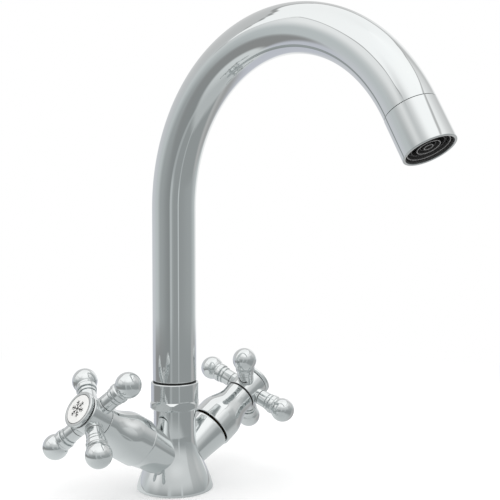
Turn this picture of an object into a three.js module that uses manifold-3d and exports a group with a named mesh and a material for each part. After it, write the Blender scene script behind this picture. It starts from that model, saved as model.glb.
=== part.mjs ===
// Two-handle deck-mounted kitchen mixer tap with a swivelling gooseneck spout.
// Millimetres, +Z up. The origin is the centre of the base, where it stands on the sink deck.
// The spout reaches out towards -Y. The cold handle is on the -X arm and the hot one on the +X arm.

import * as THREE from 'three';
import { mergeVertices } from 'three/addons/utils/BufferGeometryUtils.js';
import Module from 'manifold-3d';

const wasm = await Module();
wasm.setup();

// ---------------------------------------------------------------- driving dimensions

// Clearances
const SEAT_GAP = 0.3; // between a piece and the face that it rests on
const BORE_GAP = 0.3; // radial, between a piece and the bore that it sits or turns in
const SEAL_GAP = 0.12; // radial, between an O-ring and the wall that it seals on
const CUT_PAST = 2; // how far a cutting shape runs past the face that it cuts

// Body casting: a round flared base, a neck and two arms
const BASE_R = 25;
const BASE_EDGE_H = 1;
const FLARE_TOP = 36;
const FLARE_LEAN = 0.45; // radians of the cosine left out, so the foot's edge still slopes
const NECK_TOP = 52.3;
const NECK_SHOULDER = 0.95; // the neck stands this far proud of its threaded end
const TURRET_WALL = 3.6; // threaded end of the neck, inside the union nut
const TURRET_H = 9.7;
const SOCKET_R = 9.3; // bore that the spout's foot turns in
const SOCKET_DEPTH = 24;
const MIXING_R = 6;
const MIXING_DEPTH = 9;
const PORT_R = 2.4; // water ports
const PORT_ABOVE_CHAMBER_FLOOR = 2.6;
const INLET_R = 4.6; // socket for a flexible inlet hose
const INLET_DEPTH = 12;
const INLET_X = 9.8;
const STUD_R = 3.4; // socket for the threaded fixing stud
const STUD_DEPTH = 14;
const STUD_Y = 13;
const GASKET_EDGE = 1.7; // from the base's rim to the gasket's groove
const GASKET_GROOVE_W = 2.8;
const GASKET_GROOVE_DEPTH = 1.6;

// Arms: each rises outwards from the riser's axis and carries one valve and its handle
const ARM_TILT = THREE.MathUtils.degToRad(32.6);
const ARM_CROSS_Z = 15.4; // height at which the arms' axes cross the riser's axis
const ARM_ROOT_WALL = 2;
const ARM_MOUTH_WALL = 4.6;
const ARM_L = 35; // from the riser's axis to the arm's mouth
const ARM_RIM = 0.6; // chamfer round the mouth
const VALVE_BORE_R = 10.4;
const VALVE_BORE_DEPTH = 17.6;

// Valve headwork: brass cartridge with two ceramic discs
const WATER_WAY = 1.8; // round the nose
const NOSE_WALL = 0.9;
const THREAD_L = 7.1;
const HEAD_SEAL_T = 0.9;
const HEAD_SEAL_W = 2.4;
const HEX_ACROSS_FLATS = 23.2;
const HEX_H = 3.7;
const COLLAR_R = 12; // carries the shroud's thread
const COLLAR_H = 6.3;
const BONNET_R = 8.4;
const BONNET_H = 9.6;
const SEAT_SEAL_T = 1.6;
const SEAT_SEAL_BORE_R = 4.2;
const DISC_T = 2.8;
const DISC_PORT_R = 2.2;
const DISC_PORT_OFFSET = 4;
const WINDOW_W = 8;
const WINDOW_L = 3.6;
const DRIVE_TAB_W = 3.6;
const DRIVE_TAB_L = 9;
const DRIVE_TAB_H = 1.3;
const DRIVE_FLANGE_T = 2.4;
const SPINDLE_R = 4;
const SPINDLE_RING_SECTION_R = 0.65;
const SPINDLE_RING_DOWN = 9.5; // from the bonnet's end
const CIRCLIP_T = 0.8;
const CIRCLIP_W = 2.2;
const CIRCLIP_GROOVE_DEPTH = 0.9;
const CIRCLIP_SLOT_W = 4;
const SPLINE_TEETH = 12;
const SPLINE_TOOTH_DEPTH = 0.5;

// Shroud: the bell-shaped chrome cover over the headwork
const SHROUD_HEX_ROOM = 0.8; // round the headwork's corners
const SHROUD_WALL = 1.5;
const SHROUD_L = 34; // from the arm's mouth to the shroud's top
const SHROUD_LIP_L = 10.5; // straight part at the lip
const SHROUD_NECK_L = 5; // straight part at the top
const SHROUD_EDGE = 0.6;
const SHROUD_LIP_GAP_COLD = 0.4; // between the arm's mouth and the shroud's lip
const SHROUD_LIP_GAP_HOT = 1.2;

// Cross handle
const HUB_R = 11;
const HUB_FLARE = 0.6;
const HUB_H = 15.1;
const HUB_SEAM = 0.4; // running gap between the shroud and the hub
const HUB_SPIGOT_L = 3;
const HUB_RIM = 3;
const HUB_RECESS_DEPTH = 5;
const HUB_FLOOR = 2; // between the spindle's socket and the recess
const HUB_EDGE = 0.9;
const SPOKES = 4;
const BOSS_R = 5.6;
const BOSS_STAND = 1.6; // how far a boss stands out of the hub
const TENON_R = 2;
const TENON_L = 5.6;
const TENON_ROOF = 0.6; // between a tenon's hole and the recess
const SPOKE_ROOT_R = 5.5;
const BEAD_R = 6.5;
const BEAD_RISE = 2.6; // from the straight root up to the bead
const BEAD_FALL = 2.4; // from the bead down to the neck
const SPOKE_NECK_R = 6.2;
const SPOKE_NECK_L = 0.9;
const BALL_R = 8.05;
const BALL_OUT = 18.6; // from the spoke's root to the ball's centre
const COLD_HANDLE_TURN = THREE.MathUtils.degToRad(50); // first spoke, from the level line
const HOT_HANDLE_TURN = THREE.MathUtils.degToRad(26.9);
const SCREW_R = 2;
const SCREW_L = 6;
const SCREW_HEAD_R = 3.6;
const SCREW_TOP_ROOM = 2.7;
const SCREW_KEY_DEPTH = 1;
const SCREW_KEY_R = 1.7;
const BEZEL_RIM = 2;
const BEZEL_H = 3.2;
const BEZEL_EDGE = 0.6;
const BEZEL_FLOOR = 0.8;
const BEZEL_SKIRT_WALL = 1.3;
const INDEX_R = 9.2;
const INDEX_DOME = 0.5;

// Union nut and the spout's foot
const NUT_WALL = 2.4;
const NUT_FLAT_INSET = 0.4; // the flats lie this far inside the round collar
const NUT_CORNER_OUT = 1.3; // and the corners this far outside it
const NUT_HEX_H = 5.6;
const NUT_HEX_CHAMFER = 1.5;
const NUT_TURN = THREE.MathUtils.degToRad(-14.5); // where the nut stops, from a corner on X
const NUT_LIP_T = 4;
const NUT_EDGE = 0.5;
const SLIP_RING_SEAT_DEPTH = 1.4;
const SLIP_RING_W = 1.5;
const FOOT_SHOULDER = 2.3; // the shank that passes through the nut stands out from the spigot
const FOOT_WATER_R = 5.8;
const FOOT_PLUG_L = 15;
const FOOT_RING_CATCH = 1.4; // depth of the retaining ring's groove
const RETAINER_T = 2;
const RETAINER_SLOT_W = 3;
const FOOT_SEAL_SECTION_R = 0.85;
const FOOT_SEAL_SPACING = 8;
const FOOT_SEAL_FROM_END = 6.5;
const SEAL_GROOVE_SLACK = 0.35;

// Spout tube
const TUBE_R = 14.25;
const TUBE_WALL = 1;
const TUBE_FOOT_GAP = 0.8; // dark gap between the nut and the tube
const BEND_START_Z = 183.5;
const BEND_R = 101.4;
const BEND_ANGLE = THREE.MathUtils.degToRad(150);
const TUBE_TIP_L = 2;

// Outlet sleeve and aerator
const OUTLET_STEP = 0.15; // the sleeve stands this far proud of the tube
const OUTLET_L = 23.9;
const OUTLET_SPIGOT_L = 7;
const OUTLET_SPIGOT_GAP = 0.6; // wider, because the tube still bends a little round the spigot
const OUTLET_RIM = 1.5;
const OUTLET_LEDGE = 3.3;
const OUTLET_MOUTH_DEPTH = 11.4;
const OUTLET_EDGE = 0.5;
const AERATOR_WASHER_T = 1.5;
const AERATOR_WASHER_W = 2.2;
const SCREEN_T = 0.6;
const SCREEN_HOLE_R = 1.4;
const SCREEN_RINGS = 1;
const SCREEN_PITCH = 6;
const AERATOR_FLANGE_T = 2;
const AERATOR_MOAT = 1.2; // dark gap between the sleeve and the aerator's barrel
const AERATOR_INSET = 1.8; // from the sleeve's rim to the aerator's face
const AERATOR_RIB = 0.7;
const AERATOR_RING_R = 6.4;
const AERATOR_CORE_R = 2.65;
const AERATOR_RIBS = 12;

// Facets round each kind of piece
const BODY_FACETS = 32;
const TUBE_FACETS = 20;
const TUBE_STEPS = 26;
const COVER_FACETS = 22;
const SPOKE_FACETS = 10;
const INNER_FACETS = 14;
const SMALL_FACETS = 8;
const HOLE_FACETS = 6;
const FLARE_STEPS = 7;
const ARM_STEPS = 4;
const SHROUD_OUTER_STEPS = 6;
const SHROUD_INNER_STEPS = 3;
const BALL_STEPS = 5;

// Sizes that follow from those above
const TURRET_R = SOCKET_R + TURRET_WALL;
const NECK_R = TURRET_R + NECK_SHOULDER;
const TURRET_TOP = NECK_TOP + TURRET_H;
const SOCKET_FLOOR = TURRET_TOP - SOCKET_DEPTH;
const CHAMBER_FLOOR = SOCKET_FLOOR - MIXING_DEPTH;
const GASKET_GROOVE_OUTER_R = BASE_R - GASKET_EDGE;
const GASKET_GROOVE_INNER_R = GASKET_GROOVE_OUTER_R - GASKET_GROOVE_W;
const ARM_ROOT_R = VALVE_BORE_R + ARM_ROOT_WALL;
const ARM_MOUTH_R = VALVE_BORE_R + ARM_MOUTH_WALL;
const RETAINER_BOTTOM = TURRET_TOP + SEAT_GAP;
const RETAINER_TOP = RETAINER_BOTTOM + RETAINER_T;
const NUT_R = TURRET_R + BORE_GAP + NUT_WALL;
const NUT_BOTTOM = NECK_TOP + SEAT_GAP;
const NUT_LIP_BOTTOM = RETAINER_TOP + SEAT_GAP;
const SLIP_RING_SEAT = NUT_LIP_BOTTOM + NUT_LIP_T;
const NUT_TOP = SLIP_RING_SEAT + SLIP_RING_SEAT_DEPTH;
const FOOT_SPIGOT_R = SOCKET_R - BORE_GAP;
const FOOT_SHANK_R = FOOT_SPIGOT_R + FOOT_SHOULDER;
const FOOT_RING_GROOVE_R = FOOT_SPIGOT_R - FOOT_RING_CATCH;
const TUBE_FOOT = NUT_TOP + TUBE_FOOT_GAP;
const TUBE_BORE_R = TUBE_R - TUBE_WALL;
const OUTLET_R = TUBE_R + OUTLET_STEP;
const OUTLET_MOUTH_R = OUTLET_R - OUTLET_RIM;
const OUTLET_BORE_R = OUTLET_MOUTH_R - OUTLET_LEDGE;
const AERATOR_R = OUTLET_MOUTH_R - AERATOR_MOAT;
const VALVE_SEAT = ARM_L - VALVE_BORE_DEPTH;
const NOSE_R = VALVE_BORE_R - WATER_WAY;
const NOSE_BORE_R = NOSE_R - NOSE_WALL;
const NOSE_TIP = VALVE_SEAT + SEAT_GAP;
const VALVE_DISC_R = NOSE_BORE_R - BORE_GAP;
const FIXED_DISC = NOSE_TIP + SEAT_SEAL_T + SEAT_GAP;
const TURNING_DISC = FIXED_DISC + DISC_T + SEAT_GAP;
const DRIVE_FLANGE = TURNING_DISC + DISC_T + SEAT_GAP;
const NOSE_CAVITY_END = DRIVE_FLANGE + DRIVE_FLANGE_T + SEAT_GAP;
const SPINDLE_BORE_R = SPINDLE_R + BORE_GAP;
const HEX_BOTTOM = ARM_L + HEAD_SEAL_T + 2 * SEAT_GAP;
const COLLAR_BOTTOM = HEX_BOTTOM + HEX_H;
const COLLAR_TOP = COLLAR_BOTTOM + COLLAR_H;
const BONNET_TOP = COLLAR_TOP + BONNET_H;
const THREAD_R = VALVE_BORE_R - BORE_GAP;
const HEX_CORNER_R = HEX_ACROSS_FLATS / 2 / Math.cos(Math.PI / 6);
const SHROUD_LIP_R = HEX_CORNER_R + SHROUD_HEX_ROOM + SHROUD_WALL;
const SHROUD_TOP_R = HUB_R;
const SHROUD_MOUTH_R = SHROUD_TOP_R - SHROUD_WALL;
const SHROUD_SHOULDER = ARM_L + SHROUD_LIP_L;
const SHROUD_TOP = ARM_L + SHROUD_L;
const SHROUD_WAIST = SHROUD_TOP - SHROUD_NECK_L;
const HUB_TOP_R = HUB_R + HUB_FLARE;
const HUB_RECESS_R = HUB_TOP_R - HUB_RIM;
const HUB_BOTTOM = SHROUD_TOP + HUB_SEAM;
const HUB_TOP = HUB_BOTTOM + HUB_H;
const HUB_RECESS_FLOOR = HUB_TOP - HUB_RECESS_DEPTH;
const HUB_SOCKET_END = HUB_RECESS_FLOOR - HUB_FLOOR;
const SPINDLE_TIP = HUB_SOCKET_END - SEAT_GAP;
const TENON_HOLE_R = TENON_R + BORE_GAP;
const SPOKE_PLANE = HUB_RECESS_FLOOR - TENON_ROOF - TENON_HOLE_R;
const BOSS_REACH = HUB_R + BOSS_STAND;
const SPOKE_ROOT = BOSS_REACH + SEAT_GAP;
const BALL_AT = SPOKE_ROOT + BALL_OUT;
const BEZEL_BOTTOM = HUB_TOP + SEAT_GAP;
const BEZEL_R = INDEX_R + BORE_GAP + BEZEL_RIM;

const CHROME = { color: 0xb4babc, roughness: 0.08, metalness: 1 };
const BRASS = { color: 0xb8975a, roughness: 0.35, metalness: 1 };
const BLACK_RUBBER = { color: 0x141516, roughness: 0.8, metalness: 0 };
const BLACK_PLASTIC = { color: 0x1a1c1e, roughness: 0.45, metalness: 0 };
const GREY_PLASTIC = { color: 0x5a5f61, roughness: 0.5, metalness: 0 };
const STEEL = { color: 0x9a9fa2, roughness: 0.3, metalness: 1 };
const ALUMINA = { color: 0xe8e4da, roughness: 0.3, metalness: 0 };
const PORCELAIN = { color: 0xf0f0ec, roughness: 0.15, metalness: 0 };

// ---------------------------------------------------------------- shape helpers

// Turns a closed surface into a solid. A ring that shrinks to a point on the axis leaves
// triangles with two like corners, and those are dropped.
function solidOf(geometry, matrix = new THREE.Matrix4()) {
  const bare = geometry.clone().applyMatrix4(matrix);
  bare.deleteAttribute('normal');
  bare.deleteAttribute('uv');
  const merged = mergeVertices(bare);
  const corners = merged.index.array;
  const triangles = [];
  for (let i = 0; i < corners.length; i += 3) {
    const [a, b, c] = corners.slice(i, i + 3);
    if (a !== b && b !== c && c !== a) {
      triangles.push(a, b, c);
    }
  }
  const vertProperties = new Float32Array(merged.attributes.position.array);
  const triVerts = new Uint32Array(triangles);
  return new wasm.Manifold(new wasm.Mesh({ numProp: 3, vertProperties, triVerts }));
}

function geometryOf(solid) {
  const surface = solid.getMesh();
  const geometry = new THREE.BufferGeometry();
  geometry.setAttribute('position', new THREE.BufferAttribute(surface.vertProperties, 3));
  geometry.setIndex(new THREE.BufferAttribute(surface.triVerts, 1));
  return geometry;
}

// Turns an outline of [radius, height] points about Z. The outline climbs on its outer side,
// and either starts and ends on the axis or closes on its first point.
function revolved(outline, facets) {
  const points = outline.map(([radius, height]) => new THREE.Vector2(radius, height));
  return new THREE.LatheGeometry(points, facets).rotateX(Math.PI / 2);
}

function cylinder(radius, bottom, top, facets = SMALL_FACETS) {
  return revolved([[0, bottom], [radius, bottom], [radius, top], [0, top]], facets);
}

function ring(inner, outer, bottom, top, facets = INNER_FACETS) {
  const outline = [[inner, bottom], [outer, bottom], [outer, top], [inner, top], [inner, bottom]];
  return revolved(outline, facets);
}

function block(width, length, bottom, top) {
  const height = top - bottom;
  return new THREE.BoxGeometry(width, length, height).translate(0, 0, bottom + height / 2);
}

function prism(corners, bottom, top) {
  const shape = new THREE.Shape(corners.map(([x, y]) => new THREE.Vector2(x, y)));
  const settings = { depth: top - bottom, bevelEnabled: false };
  return new THREE.ExtrudeGeometry(shape, settings).translate(0, 0, bottom);
}

// Corners of a regular polygon, or of a star whose radii take turns.
function star(radii, count) {
  const corners = [];
  for (let i = 0; i < count; i += 1) {
    const angle = (2 * Math.PI * i) / count;
    const radius = radii[i % radii.length];
    corners.push([radius * Math.cos(angle), radius * Math.sin(angle)]);
  }
  return corners;
}

function hexagon(cornerR) {
  return star([cornerR], 6);
}

// An O-ring, or any round ring of round section, about Z at a height.
function oRing(centreR, sectionR, height, facets) {
  const torus = new THREE.TorusGeometry(centreR, sectionR, HOLE_FACETS, facets);
  return torus.translate(0, 0, height);
}

function turned(angle) {
  return new THREE.Matrix4().makeRotationZ(angle);
}

function moved(x, y, z) {
  return new THREE.Matrix4().makeTranslation(x, y, z);
}

// Smooth fall from 1 to 0 as the share goes from 0 to 1, level at both ends.
function ease(share) {
  return (1 + Math.cos(Math.PI * share)) / 2;
}

// Points of an outline between two heights, with its radius given by a function.
function sweepOutline(from, to, steps, radiusAt) {
  const points = [];
  for (let i = 0; i <= steps; i += 1) {
    const height = from + ((to - from) * i) / steps;
    points.push([radiusAt(height), height]);
  }
  return points;
}

function piece(name, solid, finish) {
  const mesh = new THREE.Mesh(geometryOf(solid), new THREE.MeshStandardMaterial(finish));
  mesh.name = name;
  return mesh;
}

// Frame of an arm: Z runs outwards along the arm, X is level, and Y looks up and inwards.
function armFrame(side) {
  const outwards = new THREE.Vector3(side * Math.cos(ARM_TILT), 0, Math.sin(ARM_TILT));
  const level = new THREE.Vector3(0, side, 0);
  const upwards = new THREE.Vector3().crossVectors(outwards, level);
  return new THREE.Matrix4().makeBasis(level, upwards, outwards).setPosition(0, 0, ARM_CROSS_Z);
}

// ---------------------------------------------------------------- body

function flareRadius(height) {
  const share = (height - BASE_EDGE_H) / (FLARE_TOP - BASE_EDGE_H);
  const swing = FLARE_LEAN + (Math.PI - FLARE_LEAN) * share;
  return NECK_R + ((BASE_R - NECK_R) * (1 + Math.cos(swing))) / (1 + Math.cos(FLARE_LEAN));
}

function armRadius(along) {
  return ARM_ROOT_R + (ARM_MOUTH_R - ARM_ROOT_R) * (along / ARM_L) ** 2;
}

function armShape() {
  const rimStart = ARM_L - ARM_RIM;
  return revolved(
    [
      [0, 0],
      ...sweepOutline(0, rimStart, ARM_STEPS, armRadius),
      [armRadius(rimStart) - ARM_RIM, ARM_L],
      [0, ARM_L],
    ],
    BODY_FACETS,
  );
}

// A drilled hole between two points in the plane of the arms, given as [x, z].
function drilled([fromX, fromZ], [toX, toZ], radius) {
  const run = new THREE.Vector3(toX - fromX, 0, toZ - fromZ);
  const toRun = new THREE.Quaternion().setFromUnitVectors(
    new THREE.Vector3(0, 0, 1),
    run.clone().normalize(),
  );
  const matrix = new THREE.Matrix4().makeRotationFromQuaternion(toRun).setPosition(fromX, 0, fromZ);
  return solidOf(cylinder(radius, 0, run.length()), matrix);
}

function mixerBody() {
  const trunk = revolved(
    [
      [0, 0],
      [BASE_R, 0],
      ...sweepOutline(BASE_EDGE_H, FLARE_TOP, FLARE_STEPS, flareRadius),
      [NECK_R, NECK_TOP],
      [TURRET_R, NECK_TOP],
      [TURRET_R, TURRET_TOP],
      [0, TURRET_TOP],
    ],
    BODY_FACETS,
  );
  const spoutBore = revolved(
    [
      [0, CHAMBER_FLOOR],
      [MIXING_R, CHAMBER_FLOOR],
      [MIXING_R, SOCKET_FLOOR],
      [SOCKET_R, SOCKET_FLOOR],
      [SOCKET_R, TURRET_TOP + CUT_PAST],
      [0, TURRET_TOP + CUT_PAST],
    ],
    BODY_FACETS,
  );
  const gasketGroove = ring(
    GASKET_GROOVE_INNER_R,
    GASKET_GROOVE_OUTER_R,
    -CUT_PAST,
    GASKET_GROOVE_DEPTH,
    BODY_FACETS,
  );
  const studSocket = cylinder(STUD_R, -CUT_PAST, STUD_DEPTH, INNER_FACETS);
  studSocket.translate(0, STUD_Y, 0);
  let body = solidOf(trunk);
  for (const side of [-1, 1]) {
    body = body.add(solidOf(armShape(), armFrame(side)));
  }
  const portZ = CHAMBER_FLOOR + PORT_ABOVE_CHAMBER_FLOOR;
  const portReach = VALVE_SEAT * Math.cos(ARM_TILT);
  body = body.subtract(solidOf(spoutBore));
  body = body.subtract(drilled([-portReach, portZ], [portReach, portZ], PORT_R));
  body = body.subtract(solidOf(gasketGroove));
  body = body.subtract(solidOf(studSocket));
  for (const side of [-1, 1]) {
    const valveBore = cylinder(VALVE_BORE_R, VALVE_SEAT, ARM_L + CUT_PAST, COVER_FACETS);
    const inlet = cylinder(INLET_R, -CUT_PAST, INLET_DEPTH, INNER_FACETS);
    inlet.translate(side * INLET_X, 0, 0);
    const inletTop = [side * INLET_X, INLET_DEPTH - SEAT_GAP];
    const seatCentre = [side * portReach, ARM_CROSS_Z + VALVE_SEAT * Math.sin(ARM_TILT)];
    body = body.subtract(solidOf(valveBore, armFrame(side)));
    body = body.subtract(solidOf(inlet));
    body = body.subtract(drilled(inletTop, seatCentre, PORT_R));
  }
  return body;
}

function baseGasket() {
  const inner = GASKET_GROOVE_INNER_R + BORE_GAP;
  const outer = GASKET_GROOVE_OUTER_R - BORE_GAP;
  return solidOf(ring(inner, outer, 0, GASKET_GROOVE_DEPTH - SEAT_GAP, BODY_FACETS));
}

// Six flats under a round collar. A cone takes the corners off the flats at both ends.
function unionNut() {
  const hexTop = NUT_BOTTOM + NUT_HEX_H;
  const flatR = NUT_R - NUT_FLAT_INSET;
  const flats = prism(hexagon(flatR / Math.cos(Math.PI / 6)), NUT_BOTTOM, hexTop).rotateZ(NUT_TURN);
  const hex = solidOf(flats);
  const cornerR = NUT_R + NUT_CORNER_OUT;
  const chamferedR = cornerR - NUT_HEX_CHAMFER;
  const cone = revolved(
    [
      [0, NUT_BOTTOM],
      [chamferedR, NUT_BOTTOM],
      [cornerR, NUT_BOTTOM + NUT_HEX_CHAMFER],
      [cornerR, hexTop - NUT_HEX_CHAMFER],
      [chamferedR, hexTop],
      [0, hexTop],
    ],
    BODY_FACETS,
  );
  const collar = revolved(
    [
      [0, NUT_BOTTOM + NUT_HEX_CHAMFER],
      [NUT_R - NUT_EDGE, NUT_BOTTOM + NUT_HEX_CHAMFER],
      [NUT_R, hexTop],
      [NUT_R, NUT_TOP - NUT_EDGE],
      [NUT_R - NUT_EDGE, NUT_TOP],
      [0, NUT_TOP],
    ],
    COVER_FACETS,
  );
  const slipRingSeatR = FOOT_SHANK_R + SLIP_RING_W + 2 * BORE_GAP;
  const bore = revolved(
    [
      [0, NUT_BOTTOM - CUT_PAST],
      [TURRET_R + BORE_GAP, NUT_BOTTOM - CUT_PAST],
      [TURRET_R + BORE_GAP, NUT_LIP_BOTTOM],
      [FOOT_SHANK_R + BORE_GAP, NUT_LIP_BOTTOM],
      [FOOT_SHANK_R + BORE_GAP, SLIP_RING_SEAT],
      [slipRingSeatR, SLIP_RING_SEAT],
      [slipRingSeatR, NUT_TOP + CUT_PAST],
      [0, NUT_TOP + CUT_PAST],
    ],
    COVER_FACETS,
  );
  return hex.intersect(solidOf(cone)).add(solidOf(collar)).subtract(solidOf(bore));
}

// ---------------------------------------------------------------- spout

// The spout's centre line: straight up, round the bend, then a short straight tip.
class GooseneckPath extends THREE.Curve {
  constructor() {
    super();
    this.riser = BEND_START_Z - TUBE_FOOT;
    this.bend = BEND_R * BEND_ANGLE;
    this.total = this.riser + this.bend + TUBE_TIP_L;
  }

  getPoint(share, target = new THREE.Vector3()) {
    const along = share * this.total;
    if (along <= this.riser) {
      return target.set(0, 0, TUBE_FOOT + along);
    }
    const angle = Math.min((along - this.riser) / BEND_R, BEND_ANGLE);
    const past = Math.max(along - this.riser - this.bend, 0);
    const y = -BEND_R * (1 - Math.cos(angle)) - past * Math.sin(angle);
    const z = BEND_START_Z + BEND_R * Math.sin(angle) + past * Math.cos(angle);
    return target.set(0, y, z);
  }
}

function spoutTube(path) {
  const section = new THREE.Shape(
    star([TUBE_R], TUBE_FACETS).map(([x, y]) => new THREE.Vector2(x, y)),
  );
  const bore = star([TUBE_BORE_R], TUBE_FACETS).map(([x, y]) => new THREE.Vector2(x, y));
  section.holes.push(new THREE.Path(bore));
  const settings = { steps: TUBE_STEPS, extrudePath: path, bevelEnabled: false };
  return solidOf(new THREE.ExtrudeGeometry(section, settings));
}

const FOOT_END = SOCKET_FLOOR + SEAT_GAP;
const FOOT_SEAL_CENTRE_R = SOCKET_R - SEAL_GAP - FOOT_SEAL_SECTION_R;
const FOOT_SEAL_HEIGHTS = [0, 1].map((i) => FOOT_END + FOOT_SEAL_FROM_END + i * FOOT_SEAL_SPACING);

// Brass foot: a plug in the tube, a shank through the nut, a ring groove, and a spigot
// with two O-ring grooves that turns in the body's socket.
function spoutFoot() {
  const sealGrooveR = FOOT_SEAL_CENTRE_R - FOOT_SEAL_SECTION_R - SEAL_GAP;
  const grooveHalf = FOOT_SEAL_SECTION_R + SEAL_GROOVE_SLACK;
  const spigot = FOOT_SEAL_HEIGHTS.flatMap((height) => [
    [FOOT_SPIGOT_R, height - grooveHalf],
    [sealGrooveR, height - grooveHalf],
    [sealGrooveR, height + grooveHalf],
    [FOOT_SPIGOT_R, height + grooveHalf],
  ]);
  const plugTop = TUBE_FOOT + FOOT_PLUG_L;
  return solidOf(
    revolved(
      [
        [FOOT_WATER_R, FOOT_END],
        [FOOT_SPIGOT_R, FOOT_END],
        ...spigot,
        [FOOT_SPIGOT_R, RETAINER_BOTTOM - SEAT_GAP],
        [FOOT_RING_GROOVE_R, RETAINER_BOTTOM - SEAT_GAP],
        [FOOT_RING_GROOVE_R, NUT_LIP_BOTTOM],
        [FOOT_SHANK_R, NUT_LIP_BOTTOM],
        [FOOT_SHANK_R, TUBE_FOOT],
        [TUBE_BORE_R - BORE_GAP, TUBE_FOOT],
        [TUBE_BORE_R - BORE_GAP, plugTop],
        [FOOT_WATER_R, plugTop],
        [FOOT_WATER_R, FOOT_END],
      ],
      TUBE_FACETS,
    ),
  );
}

// A split ring that is sprung into the foot's groove and trapped by the nut's lip.
function retainingRing() {
  const inner = FOOT_RING_GROOVE_R + BORE_GAP;
  const outer = TURRET_R - BORE_GAP;
  const slot = block(RETAINER_SLOT_W, outer + CUT_PAST, RETAINER_BOTTOM - CUT_PAST, RETAINER_TOP + CUT_PAST);
  slot.translate(0, (outer + CUT_PAST) / 2, 0);
  const whole = ring(inner, outer, RETAINER_BOTTOM, RETAINER_TOP, COVER_FACETS);
  return solidOf(whole).subtract(solidOf(slot));
}

// Black low-friction ring in the nut's top, on which the tube turns.
function slipRing() {
  const inner = FOOT_SHANK_R + BORE_GAP;
  const bottom = SLIP_RING_SEAT + SEAT_GAP;
  return solidOf(ring(inner, inner + SLIP_RING_W, bottom, TUBE_FOOT - SEAT_GAP, COVER_FACETS));
}

// ---------------------------------------------------------------- outlet
// Its frame has Z along the flow, from the end of the tube.

const MOUTH_FLOOR = OUTLET_L - OUTLET_MOUTH_DEPTH;
const WASHER_BOTTOM = MOUTH_FLOOR + SEAT_GAP;
const SCREEN_BOTTOM = WASHER_BOTTOM + AERATOR_WASHER_T + SEAT_GAP;
const AERATOR_BOTTOM = SCREEN_BOTTOM + SCREEN_T + SEAT_GAP;
const AERATOR_FACE = OUTLET_L - AERATOR_INSET;

function outletSleeve() {
  const spigotR = TUBE_BORE_R - OUTLET_SPIGOT_GAP;
  return solidOf(
    revolved(
      [
        [OUTLET_BORE_R, -OUTLET_SPIGOT_L],
        [spigotR, -OUTLET_SPIGOT_L],
        [spigotR, SEAT_GAP],
        [OUTLET_R, SEAT_GAP],
        [OUTLET_R, OUTLET_L - OUTLET_EDGE],
        [OUTLET_R - OUTLET_EDGE, OUTLET_L],
        [OUTLET_MOUTH_R, OUTLET_L],
        [OUTLET_MOUTH_R, MOUTH_FLOOR],
        [OUTLET_BORE_R, MOUTH_FLOOR],
        [OUTLET_BORE_R, -OUTLET_SPIGOT_L],
      ],
      COVER_FACETS,
    ),
  );
}

function aeratorWasher() {
  const outer = OUTLET_MOUTH_R - BORE_GAP;
  return solidOf(
    ring(outer - AERATOR_WASHER_W, outer, WASHER_BOTTOM, WASHER_BOTTOM + AERATOR_WASHER_T),
  );
}

// Round holes on rings about the centre, one at the middle.
function holePattern(holeR, bottom, top) {
  const holes = [solidOf(cylinder(holeR, bottom, top, HOLE_FACETS))];
  for (let row = 1; row <= SCREEN_RINGS; row += 1) {
    const count = 6 * row;
    for (let i = 0; i < count; i += 1) {
      const angle = (2 * Math.PI * i) / count;
      const x = row * SCREEN_PITCH * Math.cos(angle);
      const y = row * SCREEN_PITCH * Math.sin(angle);
      holes.push(solidOf(cylinder(holeR, bottom, top, HOLE_FACETS), moved(x, y, 0)));
    }
  }
  return holes;
}

function aeratorScreen() {
  const radius = OUTLET_MOUTH_R - BORE_GAP;
  const top = SCREEN_BOTTOM + SCREEN_T;
  let screen = solidOf(cylinder(radius, SCREEN_BOTTOM, top, COVER_FACETS));
  for (const hole of holePattern(SCREEN_HOLE_R, SCREEN_BOTTOM - CUT_PAST, top + CUT_PAST)) {
    screen = screen.subtract(hole);
  }
  return screen;
}

// Plastic insert: a pierced plate, then a barrel with rings and ribs that straighten the flow.
function aeratorInsert() {
  const flangeR = OUTLET_MOUTH_R - BORE_GAP;
  const plateTop = AERATOR_BOTTOM + AERATOR_FLANGE_T;
  const ribTop = AERATOR_FACE - AERATOR_RIB;
  let insert = solidOf(cylinder(flangeR, AERATOR_BOTTOM, plateTop, COVER_FACETS));
  for (const hole of holePattern(SCREEN_HOLE_R, AERATOR_BOTTOM - CUT_PAST, plateTop + CUT_PAST)) {
    insert = insert.subtract(hole);
  }
  for (const outer of [AERATOR_R, AERATOR_RING_R, AERATOR_CORE_R]) {
    const wall = ring(outer - AERATOR_RIB, outer, plateTop - AERATOR_RIB, AERATOR_FACE);
    insert = insert.add(solidOf(wall));
  }
  const inner = AERATOR_CORE_R - AERATOR_RIB / 2;
  const length = AERATOR_R - AERATOR_RIB / 2 - inner;
  for (let i = 0; i < AERATOR_RIBS; i += 1) {
    const rib = block(length, AERATOR_RIB, plateTop - AERATOR_RIB, ribTop);
    rib.translate(inner + length / 2, 0, 0);
    insert = insert.add(solidOf(rib, turned((2 * Math.PI * (i + 0.5)) / AERATOR_RIBS)));
  }
  return insert;
}

// ---------------------------------------------------------------- valves
// All of these are in the arm's frame, with heights measured along the arm.

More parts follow.
